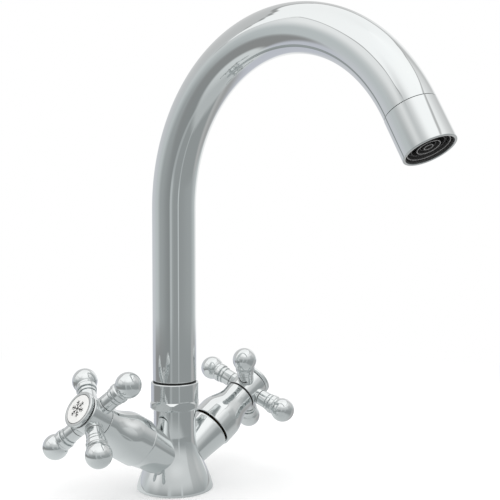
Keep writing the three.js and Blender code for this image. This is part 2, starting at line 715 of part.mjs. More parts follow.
function headworkBody() {
  const outline = [
    [0, NOSE_TIP],
    [NOSE_R, NOSE_TIP],
    [NOSE_R, ARM_L - THREAD_L],
    [THREAD_R, ARM_L - THREAD_L],
    [THREAD_R, HEX_BOTTOM + SEAT_GAP],
    [COLLAR_R, HEX_BOTTOM + SEAT_GAP],
    [COLLAR_R, COLLAR_TOP],
    [BONNET_R, COLLAR_TOP],
    [BONNET_R, BONNET_TOP],
    [0, BONNET_TOP],
  ];
  const bore = revolved(
    [
      [0, NOSE_TIP - CUT_PAST],
      [NOSE_BORE_R, NOSE_TIP - CUT_PAST],
      [NOSE_BORE_R, NOSE_CAVITY_END],
      [SPINDLE_BORE_R, NOSE_CAVITY_END],
      [SPINDLE_BORE_R, BONNET_TOP + CUT_PAST],
      [0, BONNET_TOP + CUT_PAST],
    ],
    INNER_FACETS,
  );
  const windows = block(WINDOW_W, 2 * NOSE_R + CUT_PAST, TURNING_DISC, TURNING_DISC + WINDOW_L);
  const hex = prism(hexagon(HEX_CORNER_R), HEX_BOTTOM, COLLAR_BOTTOM);
  return solidOf(revolved(outline, INNER_FACETS))
    .add(solidOf(hex))
    .subtract(solidOf(bore))
    .subtract(solidOf(windows));
}

function headworkSeal() {
  const inner = VALVE_BORE_R + SEAL_GAP;
  const bottom = ARM_L + SEAT_GAP;
  return solidOf(ring(inner, inner + HEAD_SEAL_W, bottom, bottom + HEAD_SEAL_T));
}

function seatSeal() {
  const top = NOSE_TIP + SEAT_SEAL_T;
  return solidOf(ring(SEAT_SEAL_BORE_R, VALVE_DISC_R, NOSE_TIP, top, SMALL_FACETS));
}

// Two ports through the disc let the water pass when the discs' ports line up.
function valveDisc(bottom) {
  let disc = solidOf(cylinder(VALVE_DISC_R, bottom, bottom + DISC_T, INNER_FACETS));
  for (const side of [-1, 1]) {
    const port = cylinder(DISC_PORT_R, bottom - CUT_PAST, bottom + DISC_T + CUT_PAST);
    disc = disc.subtract(solidOf(port, moved(side * DISC_PORT_OFFSET, 0, 0)));
  }
  return disc;
}

// The turning disc's ports are a quarter turn away from the fixed disc's, which is shut. A slot
// across its upper face takes the spindle's tab, which points as the handle does.
function turningDisc(handleTurn) {
  const top = TURNING_DISC + DISC_T;
  const width = DRIVE_TAB_W + 2 * BORE_GAP;
  const length = 2 * VALVE_DISC_R + CUT_PAST;
  const slot = block(length, width, top - DRIVE_TAB_H, top + CUT_PAST);
  const disc = solidOf(geometryOf(valveDisc(TURNING_DISC)), turned(Math.PI / 2));
  return disc.subtract(solidOf(slot, turned(handleTurn)));
}

const RING_GROOVE_HALF = SPINDLE_RING_SECTION_R + SEAL_GROOVE_SLACK;
const SPINDLE_RING_CENTRE_R = SPINDLE_BORE_R - SEAL_GAP - SPINDLE_RING_SECTION_R;
const SPINDLE_RING_S = BONNET_TOP - SPINDLE_RING_DOWN;
const CIRCLIP_BOTTOM = BONNET_TOP + SEAT_GAP;
const CIRCLIP_GROOVE_R = SPINDLE_R - CIRCLIP_GROOVE_DEPTH;

function splineStar(spare) {
  const tipR = SPINDLE_R + spare;
  return star([tipR, tipR - SPLINE_TOOTH_DEPTH], 2 * SPLINE_TEETH);
}

function spindle() {
  const ringGrooveR = SPINDLE_RING_CENTRE_R - SPINDLE_RING_SECTION_R - SEAL_GAP;
  const splineStart = CIRCLIP_BOTTOM + CIRCLIP_T + 2 * SEAT_GAP;
  const shaft = revolved(
    [
      [0, DRIVE_FLANGE],
      [VALVE_DISC_R, DRIVE_FLANGE],
      [VALVE_DISC_R, DRIVE_FLANGE + DRIVE_FLANGE_T],
      [SPINDLE_R, DRIVE_FLANGE + DRIVE_FLANGE_T],
      [SPINDLE_R, SPINDLE_RING_S - RING_GROOVE_HALF],
      [ringGrooveR, SPINDLE_RING_S - RING_GROOVE_HALF],
      [ringGrooveR, SPINDLE_RING_S + RING_GROOVE_HALF],
      [SPINDLE_R, SPINDLE_RING_S + RING_GROOVE_HALF],
      [SPINDLE_R, CIRCLIP_BOTTOM - SEAT_GAP],
      [CIRCLIP_GROOVE_R, CIRCLIP_BOTTOM - SEAT_GAP],
      [CIRCLIP_GROOVE_R, splineStart + SEAT_GAP],
      [0, splineStart + SEAT_GAP],
    ],
    SMALL_FACETS,
  );
  const tabBottom = DRIVE_FLANGE - DRIVE_TAB_H;
  const tab = block(DRIVE_TAB_L, DRIVE_TAB_W, tabBottom, DRIVE_FLANGE + DRIVE_FLANGE_T / 2);
  const spline = prism(splineStar(0), splineStart, SPINDLE_TIP);
  const screwHole = cylinder(
    SCREW_R + BORE_GAP,
    HUB_RECESS_FLOOR - SCREW_L - SEAT_GAP,
    SPINDLE_TIP + CUT_PAST,
  );
  return solidOf(shaft)
    .add(solidOf(tab))
    .add(solidOf(spline))
    .subtract(solidOf(screwHole));
}

function circlip() {
  const inner = CIRCLIP_GROOVE_R + BORE_GAP;
  const outer = inner + CIRCLIP_W;
  const whole = ring(inner, outer, CIRCLIP_BOTTOM, CIRCLIP_BOTTOM + CIRCLIP_T);
  const reach = outer + CUT_PAST;
  const top = CIRCLIP_BOTTOM + CIRCLIP_T;
  const mouth = block(CIRCLIP_SLOT_W, reach, CIRCLIP_BOTTOM - CUT_PAST, top + CUT_PAST);
  mouth.translate(0, reach / 2, 0);
  return solidOf(whole).subtract(solidOf(mouth));
}

// Bell-shaped cover. A thread inside its lip holds it on the headwork's collar.
function shroudRadius(along) {
  const share = THREE.MathUtils.clamp(
    (along - SHROUD_SHOULDER) / (SHROUD_WAIST - SHROUD_SHOULDER),
    0,
    1,
  );
  return SHROUD_TOP_R + (SHROUD_LIP_R - SHROUD_TOP_R) * ease(share);
}

function shroud(lipGap) {
  const lip = ARM_L + lipGap;
  const landR = COLLAR_R + BORE_GAP;
  const landBottom = COLLAR_BOTTOM + SEAT_GAP;
  const wallRadius = (along) => shroudRadius(along) - SHROUD_WALL;
  const outer = sweepOutline(SHROUD_SHOULDER, SHROUD_WAIST, SHROUD_OUTER_STEPS, shroudRadius);
  const inner = sweepOutline(SHROUD_WAIST, COLLAR_TOP, SHROUD_INNER_STEPS, wallRadius);
  return solidOf(
    revolved(
      [
        [SHROUD_LIP_R - SHROUD_WALL, lip],
        [SHROUD_LIP_R - SHROUD_EDGE, lip],
        [SHROUD_LIP_R, lip + SHROUD_EDGE],
        ...outer,
        [SHROUD_TOP_R, SHROUD_TOP],
        [SHROUD_MOUTH_R, SHROUD_TOP],
        ...inner,
        [landR, COLLAR_TOP],
        [landR, landBottom],
        [SHROUD_LIP_R - SHROUD_WALL, landBottom],
        [SHROUD_LIP_R - SHROUD_WALL, lip],
      ],
      COVER_FACETS,
    ),
  );
}

// ---------------------------------------------------------------- handles

// A spoke's outline lies along X once it is laid down, at the height of the spokes' plane.
function laidDown(geometry, quarter) {
  geometry.rotateY(Math.PI / 2).translate(0, 0, SPOKE_PLANE);
  return geometry.rotateZ((2 * Math.PI * quarter) / SPOKES);
}

function handleHub() {
  const spigotR = SHROUD_MOUTH_R - BORE_GAP;
  const barrel = revolved(
    [
      [0, HUB_BOTTOM - HUB_SPIGOT_L],
      [spigotR, HUB_BOTTOM - HUB_SPIGOT_L],
      [spigotR, HUB_BOTTOM],
      [HUB_R, HUB_BOTTOM],
      [HUB_TOP_R, HUB_TOP - HUB_EDGE],
      [HUB_TOP_R - HUB_EDGE, HUB_TOP],
      [0, HUB_TOP],
    ],
    COVER_FACETS,
  );
  const tenonHoleEnd = BOSS_REACH - TENON_L;
  let hub = solidOf(barrel);
  for (let i = 0; i < SPOKES; i += 1) {
    hub = hub.add(solidOf(laidDown(cylinder(BOSS_R, tenonHoleEnd, BOSS_REACH, INNER_FACETS), i)));
  }
  for (let i = 0; i < SPOKES; i += 1) {
    const hole = cylinder(TENON_HOLE_R, tenonHoleEnd, BOSS_REACH + CUT_PAST);
    hub = hub.subtract(solidOf(laidDown(hole, i)));
  }
  const socket = prism(splineStar(BORE_GAP), HUB_BOTTOM - HUB_SPIGOT_L - CUT_PAST, HUB_SOCKET_END);
  const screwHole = cylinder(SCREW_R + BORE_GAP, SPINDLE_TIP, HUB_TOP);
  const recess = cylinder(HUB_RECESS_R, HUB_RECESS_FLOOR, HUB_TOP + CUT_PAST, COVER_FACETS);
  return hub
    .subtract(solidOf(recess))
    .subtract(solidOf(socket))
    .subtract(solidOf(screwHole));
}

// Turned spoke: a tenon in the hub, a straight root, a bead, a short neck and a ball.
function spokeGeometry() {
  const firstAngle = Math.asin(SPOKE_NECK_R / BALL_R);
  const neckStart = BALL_AT - BALL_R * Math.cos(firstAngle) - SPOKE_NECK_L;
  const beadAt = neckStart - BEAD_FALL;
  const rootEnd = beadAt - BEAD_RISE;
  const ball = [];
  for (let i = 0; i <= BALL_STEPS; i += 1) {
    const angle = firstAngle + ((Math.PI - firstAngle) * i) / BALL_STEPS;
    ball.push([BALL_R * Math.sin(angle), BALL_AT - BALL_R * Math.cos(angle)]);
  }
  ball[BALL_STEPS][0] = 0;
  return revolved(
    [
      [0, SPOKE_ROOT - TENON_L],
      [TENON_R, SPOKE_ROOT - TENON_L],
      [TENON_R, SPOKE_ROOT],
      [SPOKE_ROOT_R, SPOKE_ROOT],
      [SPOKE_ROOT_R, rootEnd],
      [BEAD_R, beadAt],
      [SPOKE_NECK_R, neckStart],
      ...ball,
    ],
    SPOKE_FACETS,
  );
}

function handleScrew() {
  const headBottom = HUB_RECESS_FLOOR + SEAT_GAP;
  const headTop = BEZEL_BOTTOM - SEAT_GAP - SCREW_TOP_ROOM;
  const body = revolved(
    [
      [0, HUB_RECESS_FLOOR - SCREW_L],
      [SCREW_R, HUB_RECESS_FLOOR - SCREW_L],
      [SCREW_R, headBottom],
      [SCREW_HEAD_R, headBottom],
      [SCREW_HEAD_R, headTop],
      [0, headTop],
    ],
    SMALL_FACETS,
  );
  const key = prism(hexagon(SCREW_KEY_R), headTop - SCREW_KEY_DEPTH, headTop + CUT_PAST);
  return solidOf(body).subtract(solidOf(key));
}

// Chrome ring screwed into the hub's recess. Its pocket holds the index disc.
function indexBezel() {
  const top = BEZEL_BOTTOM + BEZEL_H;
  const skirtR = HUB_RECESS_R - BORE_GAP;
  const skirtEnd = HUB_RECESS_FLOOR + SEAT_GAP;
  const pocketR = INDEX_R + BORE_GAP;
  const floor = BEZEL_BOTTOM + BEZEL_FLOOR;
  return solidOf(
    revolved(
      [
        [0, BEZEL_BOTTOM],
        [skirtR - BEZEL_SKIRT_WALL, BEZEL_BOTTOM],
        [skirtR - BEZEL_SKIRT_WALL, skirtEnd],
        [skirtR, skirtEnd],
        [skirtR, BEZEL_BOTTOM],
        [BEZEL_R - BEZEL_EDGE, BEZEL_BOTTOM],
        [BEZEL_R, BEZEL_BOTTOM + BEZEL_EDGE],
        [BEZEL_R, top - BEZEL_EDGE],
        [BEZEL_R - BEZEL_EDGE, top],
        [pocketR, top],
        [pocketR, floor],
        [0, floor],
      ],
      COVER_FACETS,
    ),
  );
}

// White porcelain disc with a slightly domed face, level with the bezel's rim at its edge.
function indexDisc() {
  const bottom = BEZEL_BOTTOM + BEZEL_FLOOR + SEAT_GAP;
  const edge = BEZEL_BOTTOM + BEZEL_H;
  const faceHeight = (radius) => edge + INDEX_DOME * (1 - (radius / INDEX_R) ** 2);
  const face = [1, 2 / 3, 1 / 3, 0].map((share) => [share * INDEX_R, faceHeight(share * INDEX_R)]);
  return solidOf(revolved([[0, bottom], [INDEX_R, bottom], ...face], COVER_FACETS));
}

// ---------------------------------------------------------------- assembly

function valveAndHandle(side, water, lipGap, handleTurn) {
  const arm = new THREE.Group();
  arm.applyMatrix4(armFrame(side));
  const spindleRing = oRing(
    SPINDLE_RING_CENTRE_R,
    SPINDLE_RING_SECTION_R,
    SPINDLE_RING_S,
    INNER_FACETS,
  );
  arm.add(
    piece(`${water}_headwork_body`, headworkBody(), BRASS),
    piece(`${water}_headwork_seal`, headworkSeal(), BLACK_RUBBER),
    piece(`${water}_seat_seal`, seatSeal(), BLACK_RUBBER),
    piece(`${water}_fixed_disc`, valveDisc(FIXED_DISC), ALUMINA),
    piece(`${water}_turning_disc`, turningDisc(handleTurn), ALUMINA),
    piece(`${water}_shroud`, shroud(lipGap), CHROME),
  );
  const handle = new THREE.Group();
  handle.rotation.z = handleTurn;
  handle.add(
    piece(`${water}_spindle`, spindle(), BRASS),
    piece(`${water}_spindle_o_ring`, solidOf(spindleRing), BLACK_RUBBER),
    piece(`${water}_spindle_circlip`, circlip(), STEEL),
    piece(`${water}_handle_hub`, handleHub(), CHROME),
    piece(`${water}_handle_screw`, handleScrew(), STEEL),
    piece(`${water}_index_bezel`, indexBezel(), CHROME),
    piece(`${water}_index_disc`, indexDisc(), PORCELAIN),
  );
  for (let i = 0; i < SPOKES; i += 1) {
    const spoke = solidOf(laidDown(spokeGeometry(), i));
    handle.add(piece(`${water}_spoke_${i + 1}`, spoke, CHROME));
  }
  arm.add(handle);
  return arm;
}

function spout() {
  const path = new GooseneckPath();
  const group = new THREE.Group();
  const [lower, upper] = FOOT_SEAL_HEIGHTS.map((height) =>
    solidOf(oRing(FOOT_SEAL_CENTRE_R, FOOT_SEAL_SECTION_R, height, TUBE_FACETS)),
  );
  group.add(
    piece('spout_tube', spoutTube(path), CHROME),
    piece('spout_foot', spoutFoot(), BRASS),
    piece('spout_o_ring_lower', lower, BLACK_RUBBER),
    piece('spout_o_ring_upper', upper, BLACK_RUBBER),
    piece('spout_retaining_ring', retainingRing(), STEEL),
    piece('spout_slip_ring', slipRing(), BLACK_PLASTIC),
  );
  const outlet = new THREE.Group();
  outlet.position.copy(path.getPoint(1));
  outlet.rotation.x = BEND_ANGLE;
  outlet.add(
    piece('outlet_sleeve', outletSleeve(), CHROME),
    piece('aerator_washer', aeratorWasher(), BLACK_RUBBER),
    piece('aerator_screen', aeratorScreen(), STEEL),
    piece('aerator_insert', aeratorInsert(), GREY_PLASTIC),
  );
  group.add(outlet);
  return group;
}

const faucet = new THREE.Group();
faucet.add(
  piece('mixer_body', mixerBody(), CHROME),
  piece('base_gasket', baseGasket(), BLACK_RUBBER),
  piece('spout_union_nut', unionNut(), CHROME),
  spout(),
  valveAndHandle(-1, 'cold', SHROUD_LIP_GAP_COLD, COLD_HANDLE_TURN),
  valveAndHandle(1, 'hot', SHROUD_LIP_GAP_HOT, HOT_HANDLE_TURN),
);

export default faucet;
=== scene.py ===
import bpy
import numpy as np
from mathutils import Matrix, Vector


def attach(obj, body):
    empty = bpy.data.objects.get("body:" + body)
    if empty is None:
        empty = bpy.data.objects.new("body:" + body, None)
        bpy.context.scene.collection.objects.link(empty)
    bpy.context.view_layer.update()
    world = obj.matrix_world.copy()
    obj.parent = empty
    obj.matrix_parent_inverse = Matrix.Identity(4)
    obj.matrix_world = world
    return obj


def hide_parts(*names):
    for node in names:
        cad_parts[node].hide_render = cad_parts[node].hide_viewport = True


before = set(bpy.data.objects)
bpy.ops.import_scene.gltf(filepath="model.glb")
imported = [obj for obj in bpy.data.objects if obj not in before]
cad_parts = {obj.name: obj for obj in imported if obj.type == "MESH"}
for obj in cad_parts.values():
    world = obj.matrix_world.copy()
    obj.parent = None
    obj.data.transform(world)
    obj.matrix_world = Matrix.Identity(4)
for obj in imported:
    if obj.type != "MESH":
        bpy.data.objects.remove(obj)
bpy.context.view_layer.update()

# ------------------------------------------------------------------------------- camera
# The tap is seen from the front left, level with the place where the riser starts to bend. The
# camera's distance, height, turn and lens come from fitting the tap's outlines in the picture.
CAMERA_DISTANCE = 0.598741
CAMERA_HEIGHT = 0.183052
CAMERA_ROUND = np.radians(-38.244)
CAMERA_TURN = np.radians(4.752)
CAMERA_TILT = np.radians(-2.547)
SENSOR_MM = 36.0
FOCAL_PIXELS = 913.117
FRAME_PIXELS = 500.0

camera_data = bpy.data.cameras.new("camera")
camera_data.sensor_width = SENSOR_MM
camera_data.lens = SENSOR_MM * FOCAL_PIXELS / FRAME_PIXELS
camera = bpy.data.objects.new("camera", camera_data)
camera.location = (
    CAMERA_DISTANCE * np.sin(CAMERA_ROUND),
    -CAMERA_DISTANCE * np.cos(CAMERA_ROUND),
    CAMERA_HEIGHT,
)
camera.rotation_euler = (np.pi / 2 + CAMERA_TILT, 0.0, CAMERA_ROUND - CAMERA_TURN)
bpy.context.collection.objects.link(camera)
bpy.context.scene.camera = camera
bpy.context.scene.view_settings.view_transform = "Standard"

# ------------------------------------------------------------------- studio: floor, lamps, walls
# A pale floor in a white room, under three soft lamps. Chrome has no colour of its own, so what it
# mirrors is given here too: grey screens all round, a bright ceiling and a light table top.
WHITE = (1.0, 1.0, 1.0, 1.0)


def grey(level):
    """Plain grey of a given level."""
    return (level, level, level, 1.0)


def place(tree, kind, **settings):
    """Adds a shader node. A setting whose name is an input's is that input's value."""
    node = tree.nodes.new("ShaderNode" + kind)
    for name, value in settings.items():
        if hasattr(node, name):
            setattr(node, name, value)
        else:
            node.inputs[name.replace("_", " ").title()].default_value = value
    return node


def join(tree, source, target):
    """Links an output socket to an input socket."""
    tree.links.new(source, target)


def math_of(tree, operation, first, second=None, third=None):
    """Math node on sockets or numbers, and its output socket."""
    node = tree.nodes.new("ShaderNodeMath")
    node.operation = operation
    for socket, value in zip(node.inputs, (first, second, third)):
        if value is None:
            continue
        if isinstance(value, (int, float)):
            socket.default_value = value
        else:
            join(tree, value, socket)
    return node.outputs[0]


def times(tree, first, second):
    """Product of two sockets or numbers."""
    return math_of(tree, "MULTIPLY", first, second)


def parts_of(tree, vector):
    """The three numbers of a vector socket."""
    parts = place(tree, "SeparateXYZ")
    join(tree, vector, parts.inputs[0])
    return parts.outputs


def mix_of(tree, factor, first, second):
    """Colour between two colours, given as sockets or values, by a factor."""
    node = tree.nodes.new("ShaderNodeMix")
    node.data_type = "RGBA"
    sockets = (node.inputs[0], node.inputs[6], node.inputs[7])
    for socket, value in zip(sockets, (factor, first, second)):
        if isinstance(value, (int, float, tuple)):
            socket.default_value = value
        else:
            join(tree, value, socket)
    return node.outputs[2]


# The room by direction. Each band runs from behind the tap, seen from the camera, round by the
# left to the camera at 0 degrees, and on by the right. A stop is (degrees, level), and where it has
# a tint, its coolness and its own share of blue. The screens' levels are steps of 0.05, chosen so
# that the chrome's light and dark lie as they do in the picture.
CEILING = ((-180, 1.05), (60, 1.15), (180, 1.05))
HIGH_SCREENS = ((-180, 0.65), (-110, 0.6), (-95, 1.0), (-65, 1.0), (-45, 0.8), (0, 1.1), (65, 1.0),
                (110, 0.8), (130, 0.6), (180, 0.65))
UPPER_SCREENS = ((-180, 0.7), (-110, 0.6), (-95, 0.95), (-65, 0.9), (-45, 0.65, 0.02),
                 (55, 0.7, 0.02), (60, 0.55, 0.02), (85, 0.55, 0.02), (100, 0.7), (130, 0.65),
                 (145, 1.0), (155, 1.0), (165, 0.7), (180, 0.7))
MIDDLE_SCREENS = ((-180, 0.65, 0.02, 0.05), (-130, 0.65, 0.02, 0.05), (-100, 0.6, 0.05),
                  (-75, 0.4, 0.05), (-25, 0.3, 0.05), (-20, 0.55, 0.05), (-14, 0.55, 0.05),
                  (-10, 0.4, 0.05), (0, 0.35, 0.05), (18, 0.35, 0.05), (20, 0.65, 0.05),
                  (23, 0.65, 0.05), (25, 0.35, 0.05), (90, 0.4, 0.05), (130, 0.6, 0.05),
                  (145, 0.95), (170, 0.95), (180, 0.65, 0.02, 0.05))
LOWER_SCREENS = ((-180, 0.6, 0.02, 0.1), (-125, 0.6, 0.02, 0.1), (-110, 0.3), (-25, 0.3, 0.05),
                 (-20, 0.45, 0.05), (-14, 0.45, 0.05), (-10, 0.35, 0.05), (18, 0.35, 0.05),
                 (20, 0.5, 0.05), (23, 0.5, 0.05), (25, 0.35, 0.05), (90, 0.35, 0.05), (105, 0.5),
                 (125, 0.4), (155, 0.6, 0.02, 0.1), (180, 0.6, 0.02, 0.1))
CEILING_EDGE = ((-180, 47), (-132, 47), (-120, 42), (-112, 34), (-107, 24), (-103, 12), (-99, 36),
                (-85, 34), (-70, 37), (-60, 36), (-50, 32), (0, 46), (60, 51), (112, 53), (126, 50),
                (142, 45), (180, 46))
CEILING_FRAME = ((-180, 0.7), (-110, 0.7), (-103, 0.5), (-97, 0.5), (-60, 0.75), (-48, 0.65),
                 (-42, 0.0), (35, 0.0), (48, 0.6), (125, 0.6), (150, 0.65), (180, 0.7))
SOFT_CEILING = ((-180, 0.0), (-60, 0.0), (-35, 1.0), (35, 1.0), (55, 0.0), (180, 0.0))
TABLE = ((-180, 0.7, 0.03), (-80, 0.75, 0.03), (0, 0.55, 0.04), (60, 0.55, 0.04), (180, 0.7, 0.03))
TABLE_REACH = ((-180, 0.13), (-120, 0.15), (-90, 0.2), (-60, 0.215), (20, 0.2), (60, 0.14),
               (120, 0.11), (180, 0.13))
COOL_BLUE = 0.2
# Heights in degrees: where one band of screens gives way to the next, and where the ceiling starts
# softly. CEILING_EDGE says where it starts sharply, with a darker frame on that line.
UPPER_CLIMB = (0.0, 26.0)
HIGH_CLIMB = (26.0, 47.0)
SOFT_CLIMB = (30.0, 62.0)
RIGHT_ANGLE = 90.0
EDGE_WIDTH = 1.5
FRAME_WIDTH = (0.3, 1.9)
FRAME_GREY = 0.2
# Metal that is itself seen in metal mirrors a plainer room for the most part.
SECOND_BOUNCE = 1.5
FAR_SHARE = 0.75
FAR_SKY = ((-180, 0.66, 0.01), (-135, 0.66, 0.01), (-110, 0.46, 0.01), (5, 0.44, 0.01),
           (28, 1.1, 0.01), (66, 1.1, 0.01), (84, 0.66, 0.01), (180, 0.66, 0.01))


def band_of(tree, stops, source):
    """One band of the room: an eased colour ramp over the share of a full turn.

    A stop lies at its degrees / 360 + 1/2. Its colour is its level, less by the coolness in red
    and more by the share of blue in blue.
    """
    ramp = place(tree, "ValToRGB")
    ramp.color_ramp.interpolation = "EASE"
    elements = ramp.color_ramp.elements
    while len(elements) < len(stops):
        elements.new(0.5)
    for element, (degrees, level, *tint) in zip(elements, stops):
        cool = tint[0] if tint else 0.0
        blue = tint[1] if len(tint) > 1 else COOL_BLUE * cool
        element.position = degrees / 360 + 0.5
        element.color = (level * (1 - cool), level, level * (1 + blue), 1.0)
    join(tree, source, ramp.inputs["Fac"])
    return ramp.outputs[0]


def share_of_turn(tree, x, y):
    """Share of a full turn of a direction, which is one half towards the camera: the fraction
    of its bearing less the camera's, over 2 pi, plus one half."""
    camera_bearing = float(np.arctan2(-np.cos(CAMERA_ROUND), np.sin(CAMERA_ROUND)))
    bearing = math_of(tree, "SUBTRACT", math_of(tree, "ARCTAN2", y, x), camera_bearing)
    return math_of(tree, "FRACT", math_of(tree, "MULTIPLY_ADD", bearing, 0.5 / np.pi, 1.5))


def step_of(tree, source, start, end):
    """Smooth step from 0 to 1 between two values of a socket."""
    step = tree.nodes.new("ShaderNodeMapRange")
    step.interpolation_type = "SMOOTHSTEP"
    join(tree, source, step.inputs["Value"])
    step.inputs["From Min"].default_value = start
    step.inputs["From Max"].default_value = end
    return step.outputs[0]


def far_share(tree, path):
    """FAR_SHARE where metal is seen in other metal, and 0 where it is seen directly."""
    again = math_of(tree, "GREATER_THAN", path.outputs["Glossy Depth"], SECOND_BOUNCE)
    return times(tree, again, FAR_SHARE)


world = bpy.data.worlds.new("studio")
bpy.context.scene.world = world
world.use_nodes = True
tree = world.node_tree
tree.nodes.clear()
direction = parts_of(tree, place(tree, "TexCoord").outputs["Generated"])
turn_share = share_of_turn(tree, direction["X"], direction["Y"])
climb = times(tree, math_of(tree, "ARCSINE", direction["Z"]), 180 / np.pi)
room = band_of(tree, MIDDLE_SCREENS, turn_share)
for screens, climbs in ((UPPER_SCREENS, UPPER_CLIMB), (HIGH_SCREENS, HIGH_CLIMB)):
    room = mix_of(tree, step_of(tree, climb, *climbs), room, band_of(tree, screens, turn_share))
edge_stops = [(degrees, rise / RIGHT_ANGLE) for degrees, rise in CEILING_EDGE]
edge = band_of(tree, edge_stops, turn_share)
past_edge = math_of(tree, "SUBTRACT", climb, times(tree, edge, RIGHT_ANGLE))
sharp_edge = step_of(tree, past_edge, -EDGE_WIDTH, EDGE_WIDTH)
soft_edge = step_of(tree, climb, *SOFT_CLIMB)
soft_share = band_of(tree, SOFT_CEILING, turn_share)
by_soft = times(tree, soft_edge, soft_share)
by_sharp = times(tree, sharp_edge, math_of(tree, "SUBTRACT", 1.0, soft_share))
ceiling_share = math_of(tree, "ADD", by_soft, by_sharp)
room = mix_of(tree, ceiling_share, room, band_of(tree, CEILING, turn_share))
off_frame = math_of(tree, "ABSOLUTE", past_edge)
on_frame = math_of(tree, "SUBTRACT", 1.0, step_of(tree, off_frame, *FRAME_WIDTH))
frame_share = times(tree, on_frame, band_of(tree, CEILING_FRAME, turn_share))
room = mix_of(tree, frame_share, room, grey(FRAME_GREY))
path = place(tree, "LightPath")
room = mix_of(tree, far_share(tree, path), room, band_of(tree, FAR_SKY, turn_share))
room = mix_of(tree, path.outputs["Is Glossy Ray"], WHITE, room)
room = mix_of(tree, path.outputs["Is Camera Ray"], room, WHITE)
sky = place(tree, "Background")
join(tree, room, sky.inputs["Color"])
join(tree, sky.outputs[0], place(tree, "OutputWorld").inputs["Surface"])

# The floor is plain and pale, takes the tap's shadow and fades into a white backdrop. To metal
# alone it glows instead, with a painted reflection: a light table top near the tap, out to
# TABLE_REACH, and the darker room past its edge.
FLOOR_HALF = 3.0
FLOOR_DROP = 0.0002
FLOOR_FADE = (0.22, 0.6)
FLOOR_GREY = 0.85
FLOOR_ROUGHNESS = 0.7
FLOOR_SPECULAR = 0.2
TABLE_BLUR = 0.035
ROOM_EDGE = (0.5, 1.0)
FAR_FLOOR = (0.4, 0.415, 0.42, 1.0)
FAR_REACH = (-0.1, 0.2)


def shaders_of(tree, factor, first, second):
    """Mix of two shaders by a factor, and its output socket."""
    mix = place(tree, "MixShader")
    for socket, source in zip(mix.inputs, (factor, first, second)):
        join(tree, source, socket)
    return mix.outputs[0]


floor_mesh = bpy.data.meshes.new("floor")
corners = [(-1, -1), (1, -1), (1, 1), (-1, 1)]
floor_mesh.from_pydata(
    [(x * FLOOR_HALF, y * FLOOR_HALF, -FLOOR_DROP) for x, y in corners], [], [(0, 1, 2, 3)]
)
floor = bpy.data.objects.new("floor", floor_mesh)
bpy.context.collection.objects.link(floor)
floor_material = bpy.data.materials.new("pale_floor")
floor_material.use_nodes = True
tree = floor_material.node_tree
shader = tree.nodes["Principled BSDF"]
shader.inputs["Roughness"].default_value = FLOOR_ROUGHNESS
shader.inputs["Specular IOR Level"].default_value = FLOOR_SPECULAR
path = place(tree, "LightPath")
pale = mix_of(tree, path.outputs["Is Camera Ray"], grey(FLOOR_GREY), WHITE)
join(tree, pale, shader.inputs["Base Color"])
x, y = parts_of(tree, place(tree, "TexCoord").outputs["Object"])[:2]
turn_share = share_of_turn(tree, x, y)
squares = math_of(tree, "ADD", times(tree, x, x), times(tree, y, y))
away = math_of(tree, "SQRT", squares)
# For metal the floor glows with a painted reflection: a light table top, then the darker room.
past_edge = math_of(tree, "SUBTRACT", away, band_of(tree, TABLE_REACH, turn_share))
beyond = mix_of(
    tree,
    step_of(tree, away, *ROOM_EDGE),
    band_of(tree, LOWER_SCREENS, turn_share),
    band_of(tree, MIDDLE_SCREENS, turn_share),
)
painted_reflection = mix_of(
    tree,
    step_of(tree, past_edge, -TABLE_BLUR, TABLE_BLUR),
    band_of(tree, TABLE, turn_share),
    beyond,
)
far = times(tree, far_share(tree, path), step_of(tree, away, *FAR_REACH))
painted_reflection = mix_of(tree, far, painted_reflection, FAR_FLOOR)
seen_in_metal = place(tree, "Emission")
join(tree, painted_reflection, seen_in_metal.inputs["Color"])
backdrop = place(tree, "Emission")
faded = step_of(tree, away, *FLOOR_FADE)
fade_share = times(tree, faded, path.outputs["Is Camera Ray"])
fading = shaders_of(tree, fade_share, shader.outputs[0], backdrop.outputs[0])
whole = shaders_of(tree, path.outputs["Is Glossy Ray"], fading, seen_in_metal.outputs[0])
join(tree, whole, tree.nodes["Material Output"].inputs["Surface"])
floor_mesh.materials.append(floor_material)

LAMPS = (
    ("key_lamp", (-0.9, -1.0, 1.3), 0.9, 5.0),
    ("fill_lamp", (1.2, -0.6, 0.9), 1.0, 2.0),
    ("back_lamp", (0.3, 1.2, 1.1), 1.0, 2.0),
)
LAMP_AIM = Vector((0, 0, 0.12))
for name, spot, width, power in LAMPS:
    lamp_data = bpy.data.lights.new(name, "AREA")
    lamp_data.size = width
    lamp_data.energy = power
    lamp = bpy.data.objects.new(name, lamp_data)
    lamp.location = spot
    lamp.rotation_euler = (LAMP_AIM - Vector(spot)).to_track_quat("-Z", "Y").to_euler()
    lamp.visible_glossy = False
    bpy.context.collection.objects.link(lamp)

# ----------------------------------------------------------------------------- mixer body
# One brass casting, ground, polished and chrome plated: a flared base, a neck with a threaded
# turret for the nut, and two sloping arms that carry the valves. A rubber ring lies in a groove
# under the base.
MM = 0.001
BASE_R = 25.0
BASE_EDGE = 1.0
FLARE_TOP = 36.0
FLARE_LEAN = 0.45
NECK_R = 13.85
NECK_TOP = 52.3
TURRET_R = 12.9
TURRET_TOP = 62.0
SOCKET_R = 9.3
SOCKET_FLOOR = 38.0
CHAMBER_R = 6.0
CHAMBER_FLOOR = 29.0
GROOVE = (20.5, 23.3, 1.6)
ARM_TILT = np.radians(32.6)
ARM_CROSS_Z = 15.4
ARM_L = 35.0
ARM_ROOT_R = 12.4
ARM_MOUTH_R = 15.0
ARM_RIM = 0.6
VALVE_BORE_R = 10.4
VALVE_SEAT = 17.4
FLARE_ROWS = 60
ARM_ROWS = 40
TRUNK_STEP = 4
TRUNK_COLUMNS = 160
ROUND_COLUMNS = 128
UPRIGHT = (np.eye(3), np.zeros(3))


